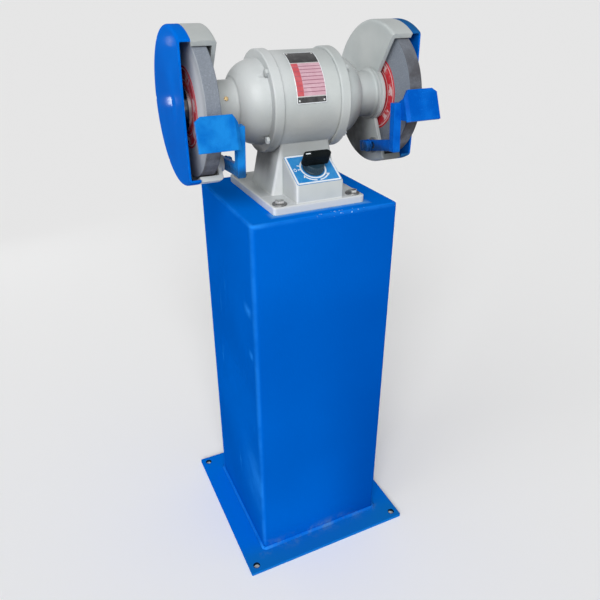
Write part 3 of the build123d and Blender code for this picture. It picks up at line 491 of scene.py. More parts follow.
GREY_DEEP = (0.41, 0.445, 0.445, 1)
GREY_BRIGHT = (0.485, 0.515, 0.51, 1)
GREY_WORN = (0.62, 0.65, 0.65, 1)
PAINTED_LIGHT_GREY = (0.68, 0.70, 0.71, 1)
GREY_SHADED = (0.27, 0.265, 0.25, 1)
TOP_SHADE_GREY = (0.27, 0.285, 0.285, 1)
HOLLOW_SOOT_AND_SHADE = (0.20, 0.19, 0.175, 1)
PAINTED_SHADE_DARK = (0.024, 0.025, 0.026, 1)
FLANGE_RIM_HIGHLIGHT = (0.53, 0.55, 0.555, 1)
FLANGE_LEFT_HIGHLIGHT = (0.72, 0.74, 0.74, 1)


def casting_grey():
    """Light grey enamel over iron castings, with cast texture, soot and painted shade in the hollows, painted
    shade underneath and on the tops, and painted light on the foot's front, the flange's rim and the left bell.
    """
    made = finish("casting_grey", 0.40, specular=0.32)
    spot = place_on()
    across, along, up = axes_of(spot)
    wide = size_of(across)
    deep = size_of(along)
    rise = less(up, SPINDLE.z)
    above_foot = less(up, FLANGE_TOP)
    colour = use(paint_tone, Deep=GREY_DEEP, Bright=GREY_BRIGHT, Drift=14.0, Mottle=0.2)[0]
    edges = use(worn_edges, Radius=0.0018, Breakup=80.0, Cover=0.5)
    colour = tint(product(edges["Mask"], 0.35), colour, GREY_WORN)
    # Soot and painted shade in the hollows, from ambient occlusion.
    hollow = put("AmbientOcclusion", {"Distance": 0.035}, samples=8).outputs["AO"]
    soot = product(ramp(hollow, 0.75, 0.25), mottled(spot, 55.0, 4.0, 0.3, 0.7), 0.3)
    colour = tint(soot, colour, HOLLOW_SOOT_AND_SHADE)

    lower = patch((rise, 0.020, -0.035, 0.0, 0.55), (up, 0.745, 0.770), (wide, 0.137, 0.133))
    colour = tint(lower, colour, GREY_SHADED)
    # Painted shade under the motor on both sides and on the right guard's inner face, under both bells and on the
    # right guard's lower lip.
    under_left = patch(
        (across, -0.030, -0.046),
        (across, -0.076, -0.068),
        (along, -0.050, -0.012),
        (up, 0.786, 0.760),
        (above_foot, 0.001, 0.046, 0.26, 0.87),
    )
    under_right = patch(
        (across, 0.045, 0.105),
        (across, 0.150, 0.142),
        (along, -0.040, 0.025, 0.15, 1.0),
        (rise, -0.004, -0.050),
    )
    left_bell = patch(
        (across, -0.036, -0.060),
        (across, -0.122, -0.110),
        (rise, -0.018, -0.060, 0.0, 0.6),
        (up, 0.748, 0.766),
    )
    right_bell = patch((across, 0.060, 0.085), (across, 0.137, 0.133), (rise, 0.018, -0.045, 0.0, 0.75))
    guard_lip = patch((across, 0.136, 0.142), (rise, -0.080, -0.090, 0.0, 0.8))
    grime = highest(under_left, under_right, left_bell, right_bell, guard_lip)
    grime = product(grime, mottled(spot, 30.0, 4.0, 0.2, 0.7, 0.86, 1.0))
    colour = tint(grime, colour, PAINTED_SHADE_DARK)

    # Painted shade on upward faces above the foot.
    shaded_tops = patch((upward(), 0.55, 1.0, 0.0, 0.42), (above_foot, 0.010, 0.040))
    colour = tint(shaded_tops, colour, TOP_SHADE_GREY)
    # Painted light on the front of the foot, the tower's front-left corner, the left bell's upper half and the
    # switch box's left side.
    lit_foot_front = patch((above_foot, 0.003, 0.001), (along, 0.0, -0.070, 0.0, 0.6))
    tower_corner = patch(
        (along, -0.0385, -0.0425),
        (along, -0.0475, -0.0450),
        (across, -0.036, -0.042),
        (up, 0.775, 0.745, 0.0, 0.7),
    )
    lit_bell = patch((across, -0.012, -0.045), (across, -0.118, -0.104), (rise, -0.012, 0.040, 0.0, 0.42))
    box_side = patch(
        (across, -0.034, -0.0385),
        (along, -0.046, -0.052),
        (along, -0.082, -0.096, 0.35, 0.9),
        (above_foot, 0.001, 0.004),
        (up, 0.758, 0.752),
    )
    pale = highest(lit_foot_front, tower_corner, lit_bell, box_side)
    colour = tint(pale, colour, PAINTED_LIGHT_GREY)
    # Painted highlight along the rim of the foot's flange, paler on its left side.
    side_rim = ramp(wide, FLANGE_HALF_WIDTH - 0.0040, FLANGE_HALF_WIDTH - 0.0010)
    end_rim = ramp(deep, FLANGE_HALF_DEPTH - 0.0040, FLANGE_HALF_DEPTH - 0.0010)
    rim = patch((above_foot, -0.012, -0.003, 0.45, 0.8), (above_foot, 0.002, 0.0), (along, 0.02, -0.06))
    colour = tint(product(highest(side_rim, end_rim), rim), colour, FLANGE_RIM_HIGHLIGHT)
    left = patch((across, 0.0, -0.05), (above_foot, 0.002, 0.0, 0.0, 0.9), (along, -0.010, -0.090, 0.15, 1.0))
    colour = tint(product(side_rim, left), colour, FLANGE_LEFT_HIGHLIGHT)

    skin = use(cast_skin, Sand=650.0, Lumps=70.0)["Height"]
    roughness = mottled(spot, 24.0, 4.0, 0.3, 0.8, 0.34, 0.50)
    roughness = highest(roughness, product(grime, 0.8))
    return dress(made, colour, skin, 0.00045, edges["Normal"], roughness)


LEFT_WHEEL_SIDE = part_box("left_wheel")[0].x
GRAIN_DARK = (0.195, 0.222, 0.262, 1)
GRAIN_PALE = (0.265, 0.297, 0.345, 1)
GRAIN_BRIGHT = (0.6, 0.64, 0.70, 1)
OPEN_PORE = (0.06, 0.06, 0.07, 1)
PAINTED_LIGHT_STONE = (0.52, 0.54, 0.57, 1)
LOADED_AND_SHADED_STONE = (0.055, 0.052, 0.058, 1)


def grinding_stone():
    """Vitrified abrasive: fine packed grains with open pores, the rims loaded dark by use, with painted light on
    the left wheel's outer side and at the top of the right rim, and painted shade low on the left rim.
    """
    made = finish("grinding_stone", 0.85, specular=0.2)
    spot = place_on()
    axes = axes_of(spot)
    across = axes["X"]
    rise = less(axes["Z"], SPINDLE.z)
    radius = from_spindle(spot)[0]
    grains = axes_of(cells(spot, 1500.0)["Color"])
    colour = tint(grains["X"], GRAIN_DARK, GRAIN_PALE)
    colour = tint(ramp(grains["Y"], 0.95, 0.98, 0.0, 0.35), colour, GRAIN_BRIGHT)
    pores = ramp(cloud(spot, 900.0, 3.0, 0.7), 0.36, 0.26)
    colour = tint(product(pores, 0.5), colour, OPEN_PORE)
    # Painted light on the outer side of the left wheel, which the cover shades.
    lit_outer_side = patch(
        (across, LEFT_WHEEL_SIDE + 0.0012, LEFT_WHEEL_SIDE + 0.0004),
        (radius, 0.0995, 0.080, 0.45, 0.95),
        (rise, -0.075, -0.020, 0.4, 1.0),
    )
    colour = tint(lit_outer_side, colour, PAINTED_LIGHT_STONE)
    # Rims loaded dark by use, eased towards the top of the right rim as painted light; painted shade low on the
    # left rim.
    right_rim = patch((across, -0.1, 0.1, 0.12, 1.0), (rise, 0.030, 0.085, 1.0, 0.6))
    low_left_shade = patch((across, 0.1, -0.1), (rise, -0.026, -0.056, 0.0, 0.9))
    loaded = product(ramp(radius, 0.0975, 0.0992), highest(right_rim, low_left_shade))
    loaded = product(loaded, mottled(spot, 40.0, 4.0, 0.25, 0.6, 0.55, 0.95))
    colour = tint(loaded, colour, LOADED_AND_SHADED_STONE)
    return dress(made, colour, less(product(grains["X"], 0.6), pores), 0.0004)


INK_DEEP = (0.50, 0.012, 0.022, 1)
INK_BRIGHT = (0.62, 0.035, 0.05, 1)
LABEL_PAPER = (0.72, 0.60, 0.60, 1)
LABEL_FADED = (0.66, 0.40, 0.42, 1)
LABEL_FIELDS = 7.0
# Middle radius and half width of the label's outer line, inner line and ring of fields
LABEL_RINGS = ((0.0535, 0.0008), (0.0385, 0.0006), (0.0460, 0.0050))


def label_red():
    """Red paper disc on the wheel: pale ring lines, blank pale fields and ink worn thin."""
    made = finish("label_red", 0.62, specular=0.35)
    spot = place_on()
    radius, turn = from_spindle(spot)
    ink = tint(cloud(spot, 70.0, 4.0), INK_DEEP, INK_BRIGHT)
    outer_line, inner_line, field_ring = [sums("COMPARE", radius, *ring) for ring in LABEL_RINGS]
    wave = sums("SINE", product(turn, LABEL_FIELDS))
    broken = mottled(spot, 130.0, 3.0, 0.40, 0.52)
    fields = product(field_ring, ramp(wave, 0.10, 0.30), broken)
    paper = product(highest(outer_line, inner_line, fields), 0.85)
    colour = tint(paper, ink, LABEL_PAPER)
    faded = ramp(cloud(spot, 120.0, 5.0, 0.7), 0.5, 0.68, 0.0, 0.35)
    colour = tint(faded, colour, LABEL_FADED)
    return dress(made, colour, cloud(spot, 240.0, 3.0), 0.0002)


def turned_metal(name, colour, roughness, lines=2600.0):
    """Bare metal with fine tool lines running round the spindle."""
    made = finish(name, roughness, metallic=1.0)
    spot = place_on()
    ridges = cloud(stretched(spot, (1.0, 0.02, 0.02)), lines, 2.0)
    stain = cloud(spot, 45.0, 4.0)
    dark = tuple(part * 0.62 for part in colour[:3]) + (1,)
    tone = tint(ramp(stain, 0.35, 0.75), colour, dark)
    dull = ramp(stain, 0.3, 0.8, roughness * 0.8, roughness * 1.6)
    return dress(made, tone, ridges, 0.00005, roughness=dull)


def plated_metal(name, colour, tarnish, roughness):
    """Plated fasteners: cloudy bright metal, duller in blotches."""
    made = finish(name, roughness, metallic=1.0)
    spot = place_on()
    blotch = ramp(cloud(spot, 160.0, 4.0, 0.65), 0.4, 0.7)
    edges = use(worn_edges, Radius=0.0006, Breakup=200.0, Cover=0.7)
    tone = tint(blotch, colour, tarnish)
    tone = tint(product(edges["Mask"], 0.5), tone, colour)
    dull = ramp(blotch, 0.0, 1.0, roughness, roughness * 1.7)
    return dress(made, tone, cloud(spot, 900.0, 2.0), 0.00004, edges["Normal"], dull)


def moulded_plastic(name, colour, pale, roughness, specular=0.12):
    """Moulded plastic with a fine spark-eroded grain, shinier where it is handled."""
    made = finish(name, roughness, specular=specular)
    spot = place_on()
    edges = use(worn_edges, Radius=0.0009, Breakup=120.0, Cover=0.55)
    handled = mottled(spot, 55.0, 3.0, 0.35, 0.7)
    tone = tint(product(handled, 0.4), colour, pale)
    tone = tint(product(edges["Mask"], 0.5), tone, pale)
    shine = ramp(handled, 0.0, 1.0, roughness, roughness * 0.7)
    return dress(made, tone, cloud(spot, 1500.0, 2.0), 0.00008, edges["Normal"], shine)


def printed(name, colour, faded, roughness=0.35):
    """Ink on plate: an even field with slight fading and rubbing."""
    made = finish(name, roughness, specular=0.4)
    spot = place_on()
    worn = ramp(cloud(spot, 90.0, 4.0, 0.6), 0.4, 0.75)
    rubbed = use(scuffs, Stretch=(1.0, 0.5, 0.5), Scale=160.0, Cover=0.3)["Mask"]
    tone = tint(highest(product(worn, 0.6), rubbed), colour, faded)
    dull = ramp(worn, 0.0, 1.0, roughness, roughness * 1.5)
    return dress(made, tone, cloud(spot, 700.0, 2.0), 0.00003, roughness=dull)


def striped(name, roughness, metallic, dark, pale, depth, **wave):
    """Metal in fine parallel stripes, such as stacked sheets or packed wire."""
    made = finish(name, roughness, metallic)
    stripes = put("TexWave", {"Vector": place_on(), **wave}).outputs[1]
    return dress(made, tint(stripes, dark, pale), stripes, depth)


column_paint = column_enamel()
cover_paint = cover_enamel()
rest_paint = rest_enamel()
casting_paint = casting_grey()
abrasive = grinding_stone()
label_paper = label_red()
turned_steel = turned_metal("turned_steel", (0.58, 0.57, 0.56, 1), 0.28)
bearing_steel = turned_metal("bearing_steel", (0.70, 0.70, 0.71, 1), 0.14, 4200.0)
zinc = plated_metal("zinc", (0.62, 0.63, 0.63, 1), (0.40, 0.40, 0.39, 1), 0.36)
painted_zinc = printed("painted_zinc", (0.46, 0.49, 0.49, 1), (0.38, 0.40, 0.40, 1), 0.45)
brass = plated_metal("brass", (0.80, 0.60, 0.32, 1), (0.42, 0.28, 0.13, 1), 0.22)
black_steel = plated_metal("black_steel", (0.30, 0.30, 0.30, 1), (0.15, 0.15, 0.145, 1), 0.42)
capacitor_case = plated_metal("capacitor_case", (0.66, 0.66, 0.67, 1), (0.48, 0.48, 0.48, 1), 0.32)
black_plastic = moulded_plastic("black_plastic", (0.012, 0.012, 0.014, 1), (0.035, 0.035, 0.04, 1), 0.45)
knob_plastic = moulded_plastic("knob_plastic", (0.003, 0.005, 0.006, 1), (0.008, 0.011, 0.013, 1), 0.42, 0.06)
drum_plastic = moulded_plastic("drum_plastic", (0.012, 0.032, 0.050, 1), (0.036, 0.072, 0.105, 1), 0.35, 0.25)
dial_blue = printed("dial_blue", (0.014, 0.215, 0.55, 1), (0.050, 0.29, 0.62, 1))
print_white = printed("print_white", (0.80, 0.84, 0.87, 1), (0.52, 0.62, 0.72, 1))
print_black = printed("print_black", (0.022, 0.022, 0.024, 1), (0.10, 0.10, 0.10, 1))
print_red = printed("print_red", (0.475, 0.070, 0.086, 1), (0.56, 0.155, 0.17, 1))
print_pink = printed("print_pink", (0.52, 0.31, 0.37, 1), (0.60, 0.44, 0.49, 1))
print_mauve = printed("print_mauve", (0.24, 0.09, 0.13, 1), (0.34, 0.17, 0.22, 1))
plate_metal = plated_metal("plate_metal", (0.74, 0.74, 0.73, 1), (0.52, 0.52, 0.51, 1), 0.3)
SHEET_GAP = (0.05, 0.05, 0.055, 1)
SHEET_EDGE = (0.22, 0.22, 0.23, 1)
WIRE_GAP = (0.16, 0.04, 0.012, 1)
WIRE_COPPER = (0.60, 0.22, 0.08, 1)
lamination = striped("core_sheets", 0.5, 0.8, SHEET_GAP, SHEET_EDGE, 0.0002, Scale=320.0, Distortion=0.3)
copper_winding = striped("wound_copper", 0.3, 0.9, WIRE_GAP, WIRE_COPPER, 0.0006, Scale=260.0, Distortion=4.0)


# Finish on every CAD node, by the record's slot name
SLOT_FINISHES = dict(
    column_paint=column_paint,
    cover_paint=cover_paint,
    rest_paint=rest_paint,
    casting_paint=casting_paint,
    abrasive=abrasive,
    label_paper=label_paper,
    turned_steel=turned_steel,
    bearing_steel=bearing_steel,
    zinc=zinc,
    black_steel=black_steel,
    lamination=lamination,
    copper_winding=copper_winding,
    dial_print=dial_blue,
    plate_print=plate_metal,
    black_plastic=black_plastic,
    knob_plastic=knob_plastic,
    capacitor_case=capacitor_case,
)
for subpart in frame["record"]["subparts"]:
    for holder in nodes[subpart["node"]].material_slots:
        holder.material = SLOT_FINISHES[subpart["material_slot"]]


# Helpers for new pieces: a shape is modelled in millimetres about its origin, then placed in the frame
MM = Matrix.Scale(0.001, 4)
AS_IS = Matrix.Identity(4)
UP = (0, 0, 1)
SMOOTH_ANGLE = radians(38)
TINY = 1e-5
MERGED = 1e-4


def standing(place, outward, across=(1, 0, 0)):
    """Placing matrix: local Z along outward, local X near across, the origin at place in metres."""
    z = Vector(outward).normalized()
    x = Vector(across) - z * z.dot(Vector(across))
    x.normalize()
    turn = Matrix((x, z.cross(x), z)).transposed().to_4x4()
    return Matrix.Translation(place) @ turn @ MM


def join(whole, shape, matrix=MM):
    """Adds a shape to a piece, moved into its place."""
    bmesh.ops.transform(shape, matrix=matrix, verts=shape.verts)
    carrier = bpy.data.meshes.new("carrier")
    shape.to_mesh(carrier)
    shape.free()
    whole.from_mesh(carrier)
    bpy.data.meshes.remove(carrier)


def bevel(shape, parts, width, segments=2, affect="EDGES"):
    shaping = {"affect": affect, "segments": segments, "profile": 0.5, "material": -1}
    bmesh.ops.bevel(shape, geom=parts, offset=width, offset_type="OFFSET", **shaping)


def piece(name, mesh, made, body, slot, *replaced):
    """Turns a bmesh into an object that rides on a body and stands for the named CAD nodes."""
    bmesh.ops.recalc_face_normals(mesh, faces=mesh.faces)
    data = bpy.data.meshes.new(name)
    mesh.to_mesh(data)
    mesh.free()
    data.shade_smooth()
    data.set_sharp_from_angle(angle=SMOOTH_ANGLE)
    data.materials.append(made)
    shown = bpy.data.objects.new(name, data)
    scene.collection.objects.link(shown)
    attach(shown, body)
    if replaced:
        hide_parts(*replaced)


def rim_at(shape, height):
    return [edge for edge in shape.edges if all(abs(vert.co.z - height) < TINY for vert in edge.verts)]


def bar(sides, radius, low, high, ease=0.0):
    """Upright prism between two heights, its upper rim eased."""
    shape = bmesh.new()
    size = {"radius1": radius, "radius2": radius, "depth": high - low}
    middle = Matrix.Translation((0, 0, (low + high) / 2))
    bmesh.ops.create_cone(shape, cap_ends=True, segments=sides, matrix=middle, **size)
    if ease:
        bevel(shape, rim_at(shape, high), ease)
    return shape


def spin(shape, parts, angle, steps, closed):
    centre = (0, 0, 0)
    bmesh.ops.spin(shape, geom=parts, cent=centre, axis=UP, angle=angle, steps=steps, use_merge=closed)


def spun(outline, steps, closed=False):
    """Solid spun about local Z from (radius, height) points. A closed outline makes a ring."""
    shape = bmesh.new()
    made = [shape.verts.new((radius, 0, height)) for radius, height in outline]
    ends = made[1:] + made[:1] if closed else made[1:]
    lines = [shape.edges.new(pair) for pair in zip(made, ends)]
    spin(shape, made + lines, 2 * pi, steps, True)
    bmesh.ops.remove_doubles(shape, verts=shape.verts, dist=MERGED)
    return shape


def flute(shape, radius, width, depth, near=0.2, upright=0.2):
    """Sinks every second face of a spun side into a shallow flute."""
    side = [
        face
        for face in shape.faces
        if abs(face.calc_center_median().xy.length - radius) < near and abs(face.normal.z) < upright
    ]
    side.sort(key=lambda face: face.calc_center_median().xy.angle_signed(Vector((-1, 0))))
    bmesh.ops.inset_individual(shape, faces=side[::2], thickness=width, depth=-depth)


def grow(shape, faces, rise, narrow=(1, 1, 1)):
    """Extrudes faces upwards, narrows them, and returns the new faces."""
    grown = bmesh.ops.extrude_face_region(shape, geom=faces)["geom"]
    verts = [item for item in grown if isinstance(item, bmesh.types.BMVert)]
    bmesh.ops.translate(shape, vec=(0, 0, rise), verts=verts)
    bmesh.ops.scale(shape, vec=narrow, verts=verts)
    return [item for item in grown if isinstance(item, bmesh.types.BMFace)]


INK_DEPTH = 0.12
ARC_STEP = 6


def rectangle(width, height, rows=1):
    """Flat rectangle about its centre, divided along its height."""
    shape = bmesh.new()
    bmesh.ops.create_grid(shape, x_segments=1, y_segments=rows, size=0.5)
    bmesh.ops.scale(shape, vec=(width, height, 1), verts=shape.verts)
    return shape


def inked(shape):
    """Gives a flat shape the depth of printed ink."""
    grow(shape, list(shape.faces), INK_DEPTH)
    return shape


def film(width, height, rows=1):
    """Thin printed rectangle."""
    return inked(rectangle(width, height, rows))


def film_frame(width, height, line, corner, rows=1):
    """Thin printed outline of a rectangle."""
    shape = rectangle(width, height, rows)
    corners = [vert for vert in shape.verts if len(vert.link_edges) == 2]
    bevel(shape, corners, corner, 4, "VERTICES")
    middle = list(shape.faces)
    bmesh.ops.inset_region(shape, faces=middle, thickness=line, use_boundary=True)
    bmesh.ops.delete(shape, geom=middle, context="FACES")
    return inked(shape)


def film_arc(inner, outer, start, sweep):
    """Thin printed arc about the origin, angles in degrees from local X."""
    shape = bmesh.new()
    outward = Vector((cos(radians(start)), sin(radians(start)), 0))
    ends = [shape.verts.new(outward * radius) for radius in (inner, outer)]
    line = shape.edges.new(ends)
    steps = max(4, int(abs(sweep) / ARC_STEP))
    spin(shape, ends + [line], radians(sweep), steps, abs(sweep) == 360)
    return inked(shape)


def film_arrow(size):
    """Thin printed triangle that points along local X."""
    shape = bmesh.new()
    bmesh.ops.create_circle(shape, cap_ends=True, segments=3, radius=size)
    return inked(shape)


HEAD_CHAMFER = 0.18
FACE_RADIUS = 0.48
FACE_HEIGHT = 0.5


def hex_bolt(flats, head, size, length):
    """Hexagon bolt: chamfered head and washer face above local zero, shank below."""
    shape = bmesh.new()
    join(shape, bar(6, flats / 2 / cos(pi / 6), FACE_HEIGHT, head, head * HEAD_CHAMFER), AS_IS)
    join(shape, bar(32, flats * FACE_RADIUS, 0, FACE_HEIGHT), AS_IS)
    join(shape, bar(24, size / 2, -length, 0), AS_IS)
    return shape


# Column: one folded sheet with softened bends, closed by the top plate
BEND_RADIUS = 0.008
BRIM_RADIUS = 0.0035
column = bmesh.new()
column_rise = COLUMN_TOP - COLUMN_LOW.z
bmesh.ops.create_cube(column, size=1.0)
bmesh.ops.scale(column, vec=(2 * COLUMN_HALF, 2 * COLUMN_HALF, column_rise), verts=column.verts)
bmesh.ops.translate(column, vec=(0, 0, COLUMN_LOW.z + column_rise / 2), verts=column.verts)
bends = [edge for edge in column.edges if abs(edge.verts[0].co.z - edge.verts[1].co.z) > column_rise / 2]
bevel(column, bends, BEND_RADIUS, segments=8)
bevel(column, rim_at(column, COLUMN_TOP), BRIM_RADIUS, segments=5)
piece("column_body", column, column_paint, "frame", "column_paint", "column_shell", "column_top_plate")

# Weld round the foot of the column: a bead laid in overlapping ripples
WELD_PITCH = 0.0025
WELD_RIPPLE = 0.0045
WELD_CUTS = 48
WELD_SWELL = 0.0004
WELD_CREST = 0.0011
WELD_SLANT = 0.4
WELD_ROOT = 0.0004
WELD_FOOT = 0.0003
WELD_MERGED = 1e-6
weld = bmesh.new()
weld.from_mesh(nodes["base_weld"].data)
bmesh.ops.remove_doubles(weld, verts=weld.verts, dist=WELD_MERGED)
bmesh.ops.dissolve_limit(weld, angle_limit=radians(1), verts=weld.verts, edges=weld.edges)
weld_low, weld_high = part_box("base_weld")
cuts = [((0, 0, (weld_low.z + weld_high.z) / 2), UP)]
for step in range(-WELD_CUTS, WELD_CUTS + 1):
    cuts.append(((step * WELD_PITCH, 0, 0), (1, 0, 0)))
    cuts.append(((0, step * WELD_PITCH, 0), (0, 1, 0)))
for point, normal in cuts:
    everything = list(weld.verts) + list(weld.edges) + list(weld.faces)
    bmesh.ops.bisect_plane(weld, geom=everything, dist=WELD_MERGED, plane_co=point, plane_no=normal)
for vert in weld.verts:
    x, y, z = vert.co
    outside = max(abs(x), abs(y)) - COLUMN_HALF
    if outside > WELD_ROOT and z > weld_low.z + WELD_FOOT:
        run = x if abs(y) > abs(x) else y
        crest = sin(pi * (z - weld_low.z) / (weld_high.z - weld_low.z))
        ripple = 0.55 + 0.45 * sin(2 * pi * (run + WELD_SLANT * z) / WELD_RIPPLE)
        off_wall = Vector((x, 0, 0)) if abs(x) > abs(y) else Vector((0, y, 0))
        vert.co += off_wall.normalized() * (WELD_SWELL + WELD_CREST * crest * ripple)
piece("weld_bead", weld, column_paint, "frame", "column_paint", "base_weld")

# Bolts and washers that hold the foot on the column
WASHER_RADIUS = 0.0115
HEAD_TWIST = 40
WASHER_OUTLINE = ((4.5, 0), (11.5, 0), (11.5, 1.4), (11.0, 2.0), (4.9, 2.0), (4.5, 1.6))
foot_bolt_set = bmesh.new()
foot_washer_set = bmesh.new()
for x in (WASHERS_LOW.x + WASHER_RADIUS, WASHERS_HIGH.x - WASHER_RADIUS):
    turned = (cos(x * HEAD_TWIST), sin(x * HEAD_TWIST), 0)
    for y in (WASHERS_LOW.y + WASHER_RADIUS, WASHERS_HIGH.y - WASHER_RADIUS):
        foot_bolt = hex_bolt(flats=13.0, head=4.5, size=8.0, length=28.5)
        join(foot_bolt_set, foot_bolt, standing((x, y, WASHERS_HIGH.z), UP, turned))
        join(foot_washer_set, spun(WASHER_OUTLINE, 40, True), standing((x, y, WASHERS_LOW.z), UP))
piece("foot_bolt_set", foot_bolt_set, zinc, "frame", "zinc", "foot_bolts")
piece("foot_washer_set", foot_washer_set, black_steel, "frame", "black_steel", "foot_washers")

# Tie bolts through the barrel: heads on the left, nuts on the right
TIE_CIRCLE = 0.06675
TIE_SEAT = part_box("tie_nuts")[0].x
tie_bolt_set = bmesh.new()
tie_nut_set = bmesh.new()
for quarter in range(4):
    turn = pi / 4 + quarter * pi / 2
    y = TIE_CIRCLE * cos(turn)
    z = SPINDLE.z + TIE_CIRCLE * sin(turn)
    tie_bolt = hex_bolt(flats=10.0, head=4.5, size=6.0, length=131.0)
    join(tie_bolt_set, tie_bolt, standing((-TIE_SEAT, y, z), (-1, 0, 0), UP))
    tie_nut = bar(sides=6, radius=5.0 / cos(pi / 6), low=0, high=5.0, ease=0.7)
    join(tie_nut_set, tie_nut, standing((TIE_SEAT, y, z), (1, 0, 0), UP))
piece("tie_bolt_set", tie_bolt_set, painted_zinc, "frame", "zinc", "tie_bolts")
piece("tie_nut_set", tie_nut_set, painted_zinc, "frame", "zinc", "tie_nuts")

# Clamping bolts of the tool rests, and the screws of the guard covers
HEAD_DEPTH = 0.008
COVER_SCREW_CIRCLE = 0.106
COVER_SCREW_ANGLES = (125, 180, 235)
COVER_SCREW_HEAD = 0.0022
RECESSED_HEAD = ((0, 1.0), (1.3, 1.0), (1.3, 2.1), (2.2, 1.8), (2.9, 0.9), (2.9, 0))
SCREW_SHANK = ((1.7, 0), (1.7, -20), (0, -20))
for side, sign in (("left", -1), ("right", 1)):
    pivot = Vector(joints[f"{side}_rest_tilt"]["pos_m"])
    rest_bolt = bmesh.new()
    head_seat = pivot - Vector((sign * HEAD_DEPTH, 0, 0))
    bolt = hex_bolt(flats=16.0, head=6.4, size=10.0, length=19.0)
    join(rest_bolt, bolt, standing(head_seat, (-sign, 0, 0), UP))
    clamp = f"{side}_rest_clamp"
    piece(f"{side}_rest_bolt_head", rest_bolt, rest_paint, clamp, "rest_paint", f"{side}_rest_bolt")
    screws = bmesh.new()
    seat_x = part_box(f"{side}_cover_screws")[1 if sign > 0 else 0].x - sign * COVER_SCREW_HEAD
    for angle in COVER_SCREW_ANGLES:
        turn = radians(angle)
        seat = (seat_x, -COVER_SCREW_CIRCLE * cos(turn), SPINDLE.z + COVER_SCREW_CIRCLE * sin(turn))
        join(screws, spun(RECESSED_HEAD + SCREW_SHANK, 24), standing(seat, (sign, 0, 0)))
    piece(f"{side}_cover_screw_set", screws, zinc, "frame", "zinc", f"{side}_cover_screws")

# Switch knob: fluted drum, a tapered finger grip above it and a pale pointer
DIAL_TOP = 0.001
KNOB_GAP = 0.0005
KNOB_PLACE = standing(DIAL_CENTRE + DIAL_NORMAL * (DIAL_TOP + KNOB_GAP), DIAL_NORMAL)
DRUM_SKIRT = ((0, 0), (16.4, 0), (17.0, 0.6), (17.0, 3.0))
DRUM_SIDE = ((16.0, 3.8), (15.4, 11.0), (14.4, 12.4), (0, 12.4))
GRIP_RADIUS = 6.5
GRIP_REACH = 16.5
GRIP_LOW = 12.0
GRIP_TOP = 31.0
POINTER_X = -15.5
# Rise of each step of the grip, and how it narrows
GRIP_STEPS = ((4.0, (0.995, 0.94, 1)), (6.0, (0.99, 0.95, 1)), (9.0, (0.99, 1.04, 1)))
drum = bmesh.new()
drum_body = spun(DRUM_SKIRT + DRUM_SIDE, 72)
flute(drum_body, radius=15.7, width=0.16, depth=0.4)
join(drum, drum_body, KNOB_PLACE)
piece("knob_drum", drum, drum_plastic, "switch", "knob_plastic")
knob = bmesh.new()
grip = bmesh.new()
bmesh.ops.create_circle(grip, cap_ends=True, segments=40, radius=GRIP_RADIUS)
for vert in grip.verts:
    if abs(vert.co.x) > TINY:
        vert.co.x += GRIP_REACH if vert.co.x > 0 else -GRIP_REACH
bmesh.ops.translate(grip, vec=(0, 0, GRIP_LOW), verts=grip.verts)
crown = list(grip.faces)
for rise, narrow in GRIP_STEPS:
    crown = grow(grip, crown, rise, narrow)
bevel(grip, rim_at(grip, GRIP_TOP), width=1.5, segments=3)
bevel(grip, rim_at(grip, GRIP_LOW), width=0.8)
join(knob, grip, KNOB_PLACE)
piece("knob", knob, knob_plastic, "switch", "knob_plastic", "switch_knob")
pointer = bmesh.new()
join(pointer, film(8.0, 1.8), KNOB_PLACE @ Matrix.Translation((POINTER_X, 0, GRIP_TOP)))
piece("knob_pointer", pointer, print_white, "switch", "knob_plastic")

# Dial markings: border, ring, ticks, turning arrows and the numbers 0 and 1
DIAL_PLACE = standing(DIAL_CENTRE + DIAL_NORMAL * DIAL_TOP, DIAL_NORMAL)
TICK_RADIUS = 23.4
TICK_ANGLES = (20, 90, 160, 180)
ARROW_INNER = 23.7
ARROW_OUTER = 25.8
NOUGHT_X = -30.0
NOUGHT_SHAPE = (0.75, 1.1, 1, 1)
ONE_PLACE = (6.0, 24.6, 0)
# Where each turning arrow starts and how far it sweeps, in degrees
ARROW_TURNS = ((-84, 46), (-96, -46))
markings = bmesh.new()
join(markings, film_frame(width=74.4, height=59.4, line=2.9, corner=3.0), DIAL_PLACE)
join(markings, film_arc(inner=18.8, outer=21.4, start=0, sweep=360), DIAL_PLACE)
for angle in TICK_ANGLES:
    tick = Matrix.Rotation(radians(angle), 4, "Z") @ Matrix.Translation((TICK_RADIUS, 0, 0))
    join(markings, film(4.4, 1.7), DIAL_PLACE @ tick)
for start, sweep in ARROW_TURNS:
    join(markings, film_arc(ARROW_INNER, ARROW_OUTER, start, sweep), DIAL_PLACE)
    lean = radians(start + sweep)
    heading = lean + (pi / 2 if sweep > 0 else -pi / 2)
    tip = Vector((cos(lean), sin(lean), 0)) * (ARROW_INNER + ARROW_OUTER) / 2
    pointed = Matrix.Translation(tip) @ Matrix.Rotation(heading, 4, "Z")
    join(markings, film_arrow(size=3.7), DIAL_PLACE @ pointed)
nought = film_arc(inner=2.0, outer=3.0, start=0, sweep=360)
join(markings, nought, DIAL_PLACE @ Matrix.Translation((NOUGHT_X, 0, 0)) @ Matrix.Diagonal(NOUGHT_SHAPE))
join(markings, film(1.0, 6.0), DIAL_PLACE @ Matrix.Translation(ONE_PLACE))
piece("dial_markings", markings, print_white, "frame", "dial_print")

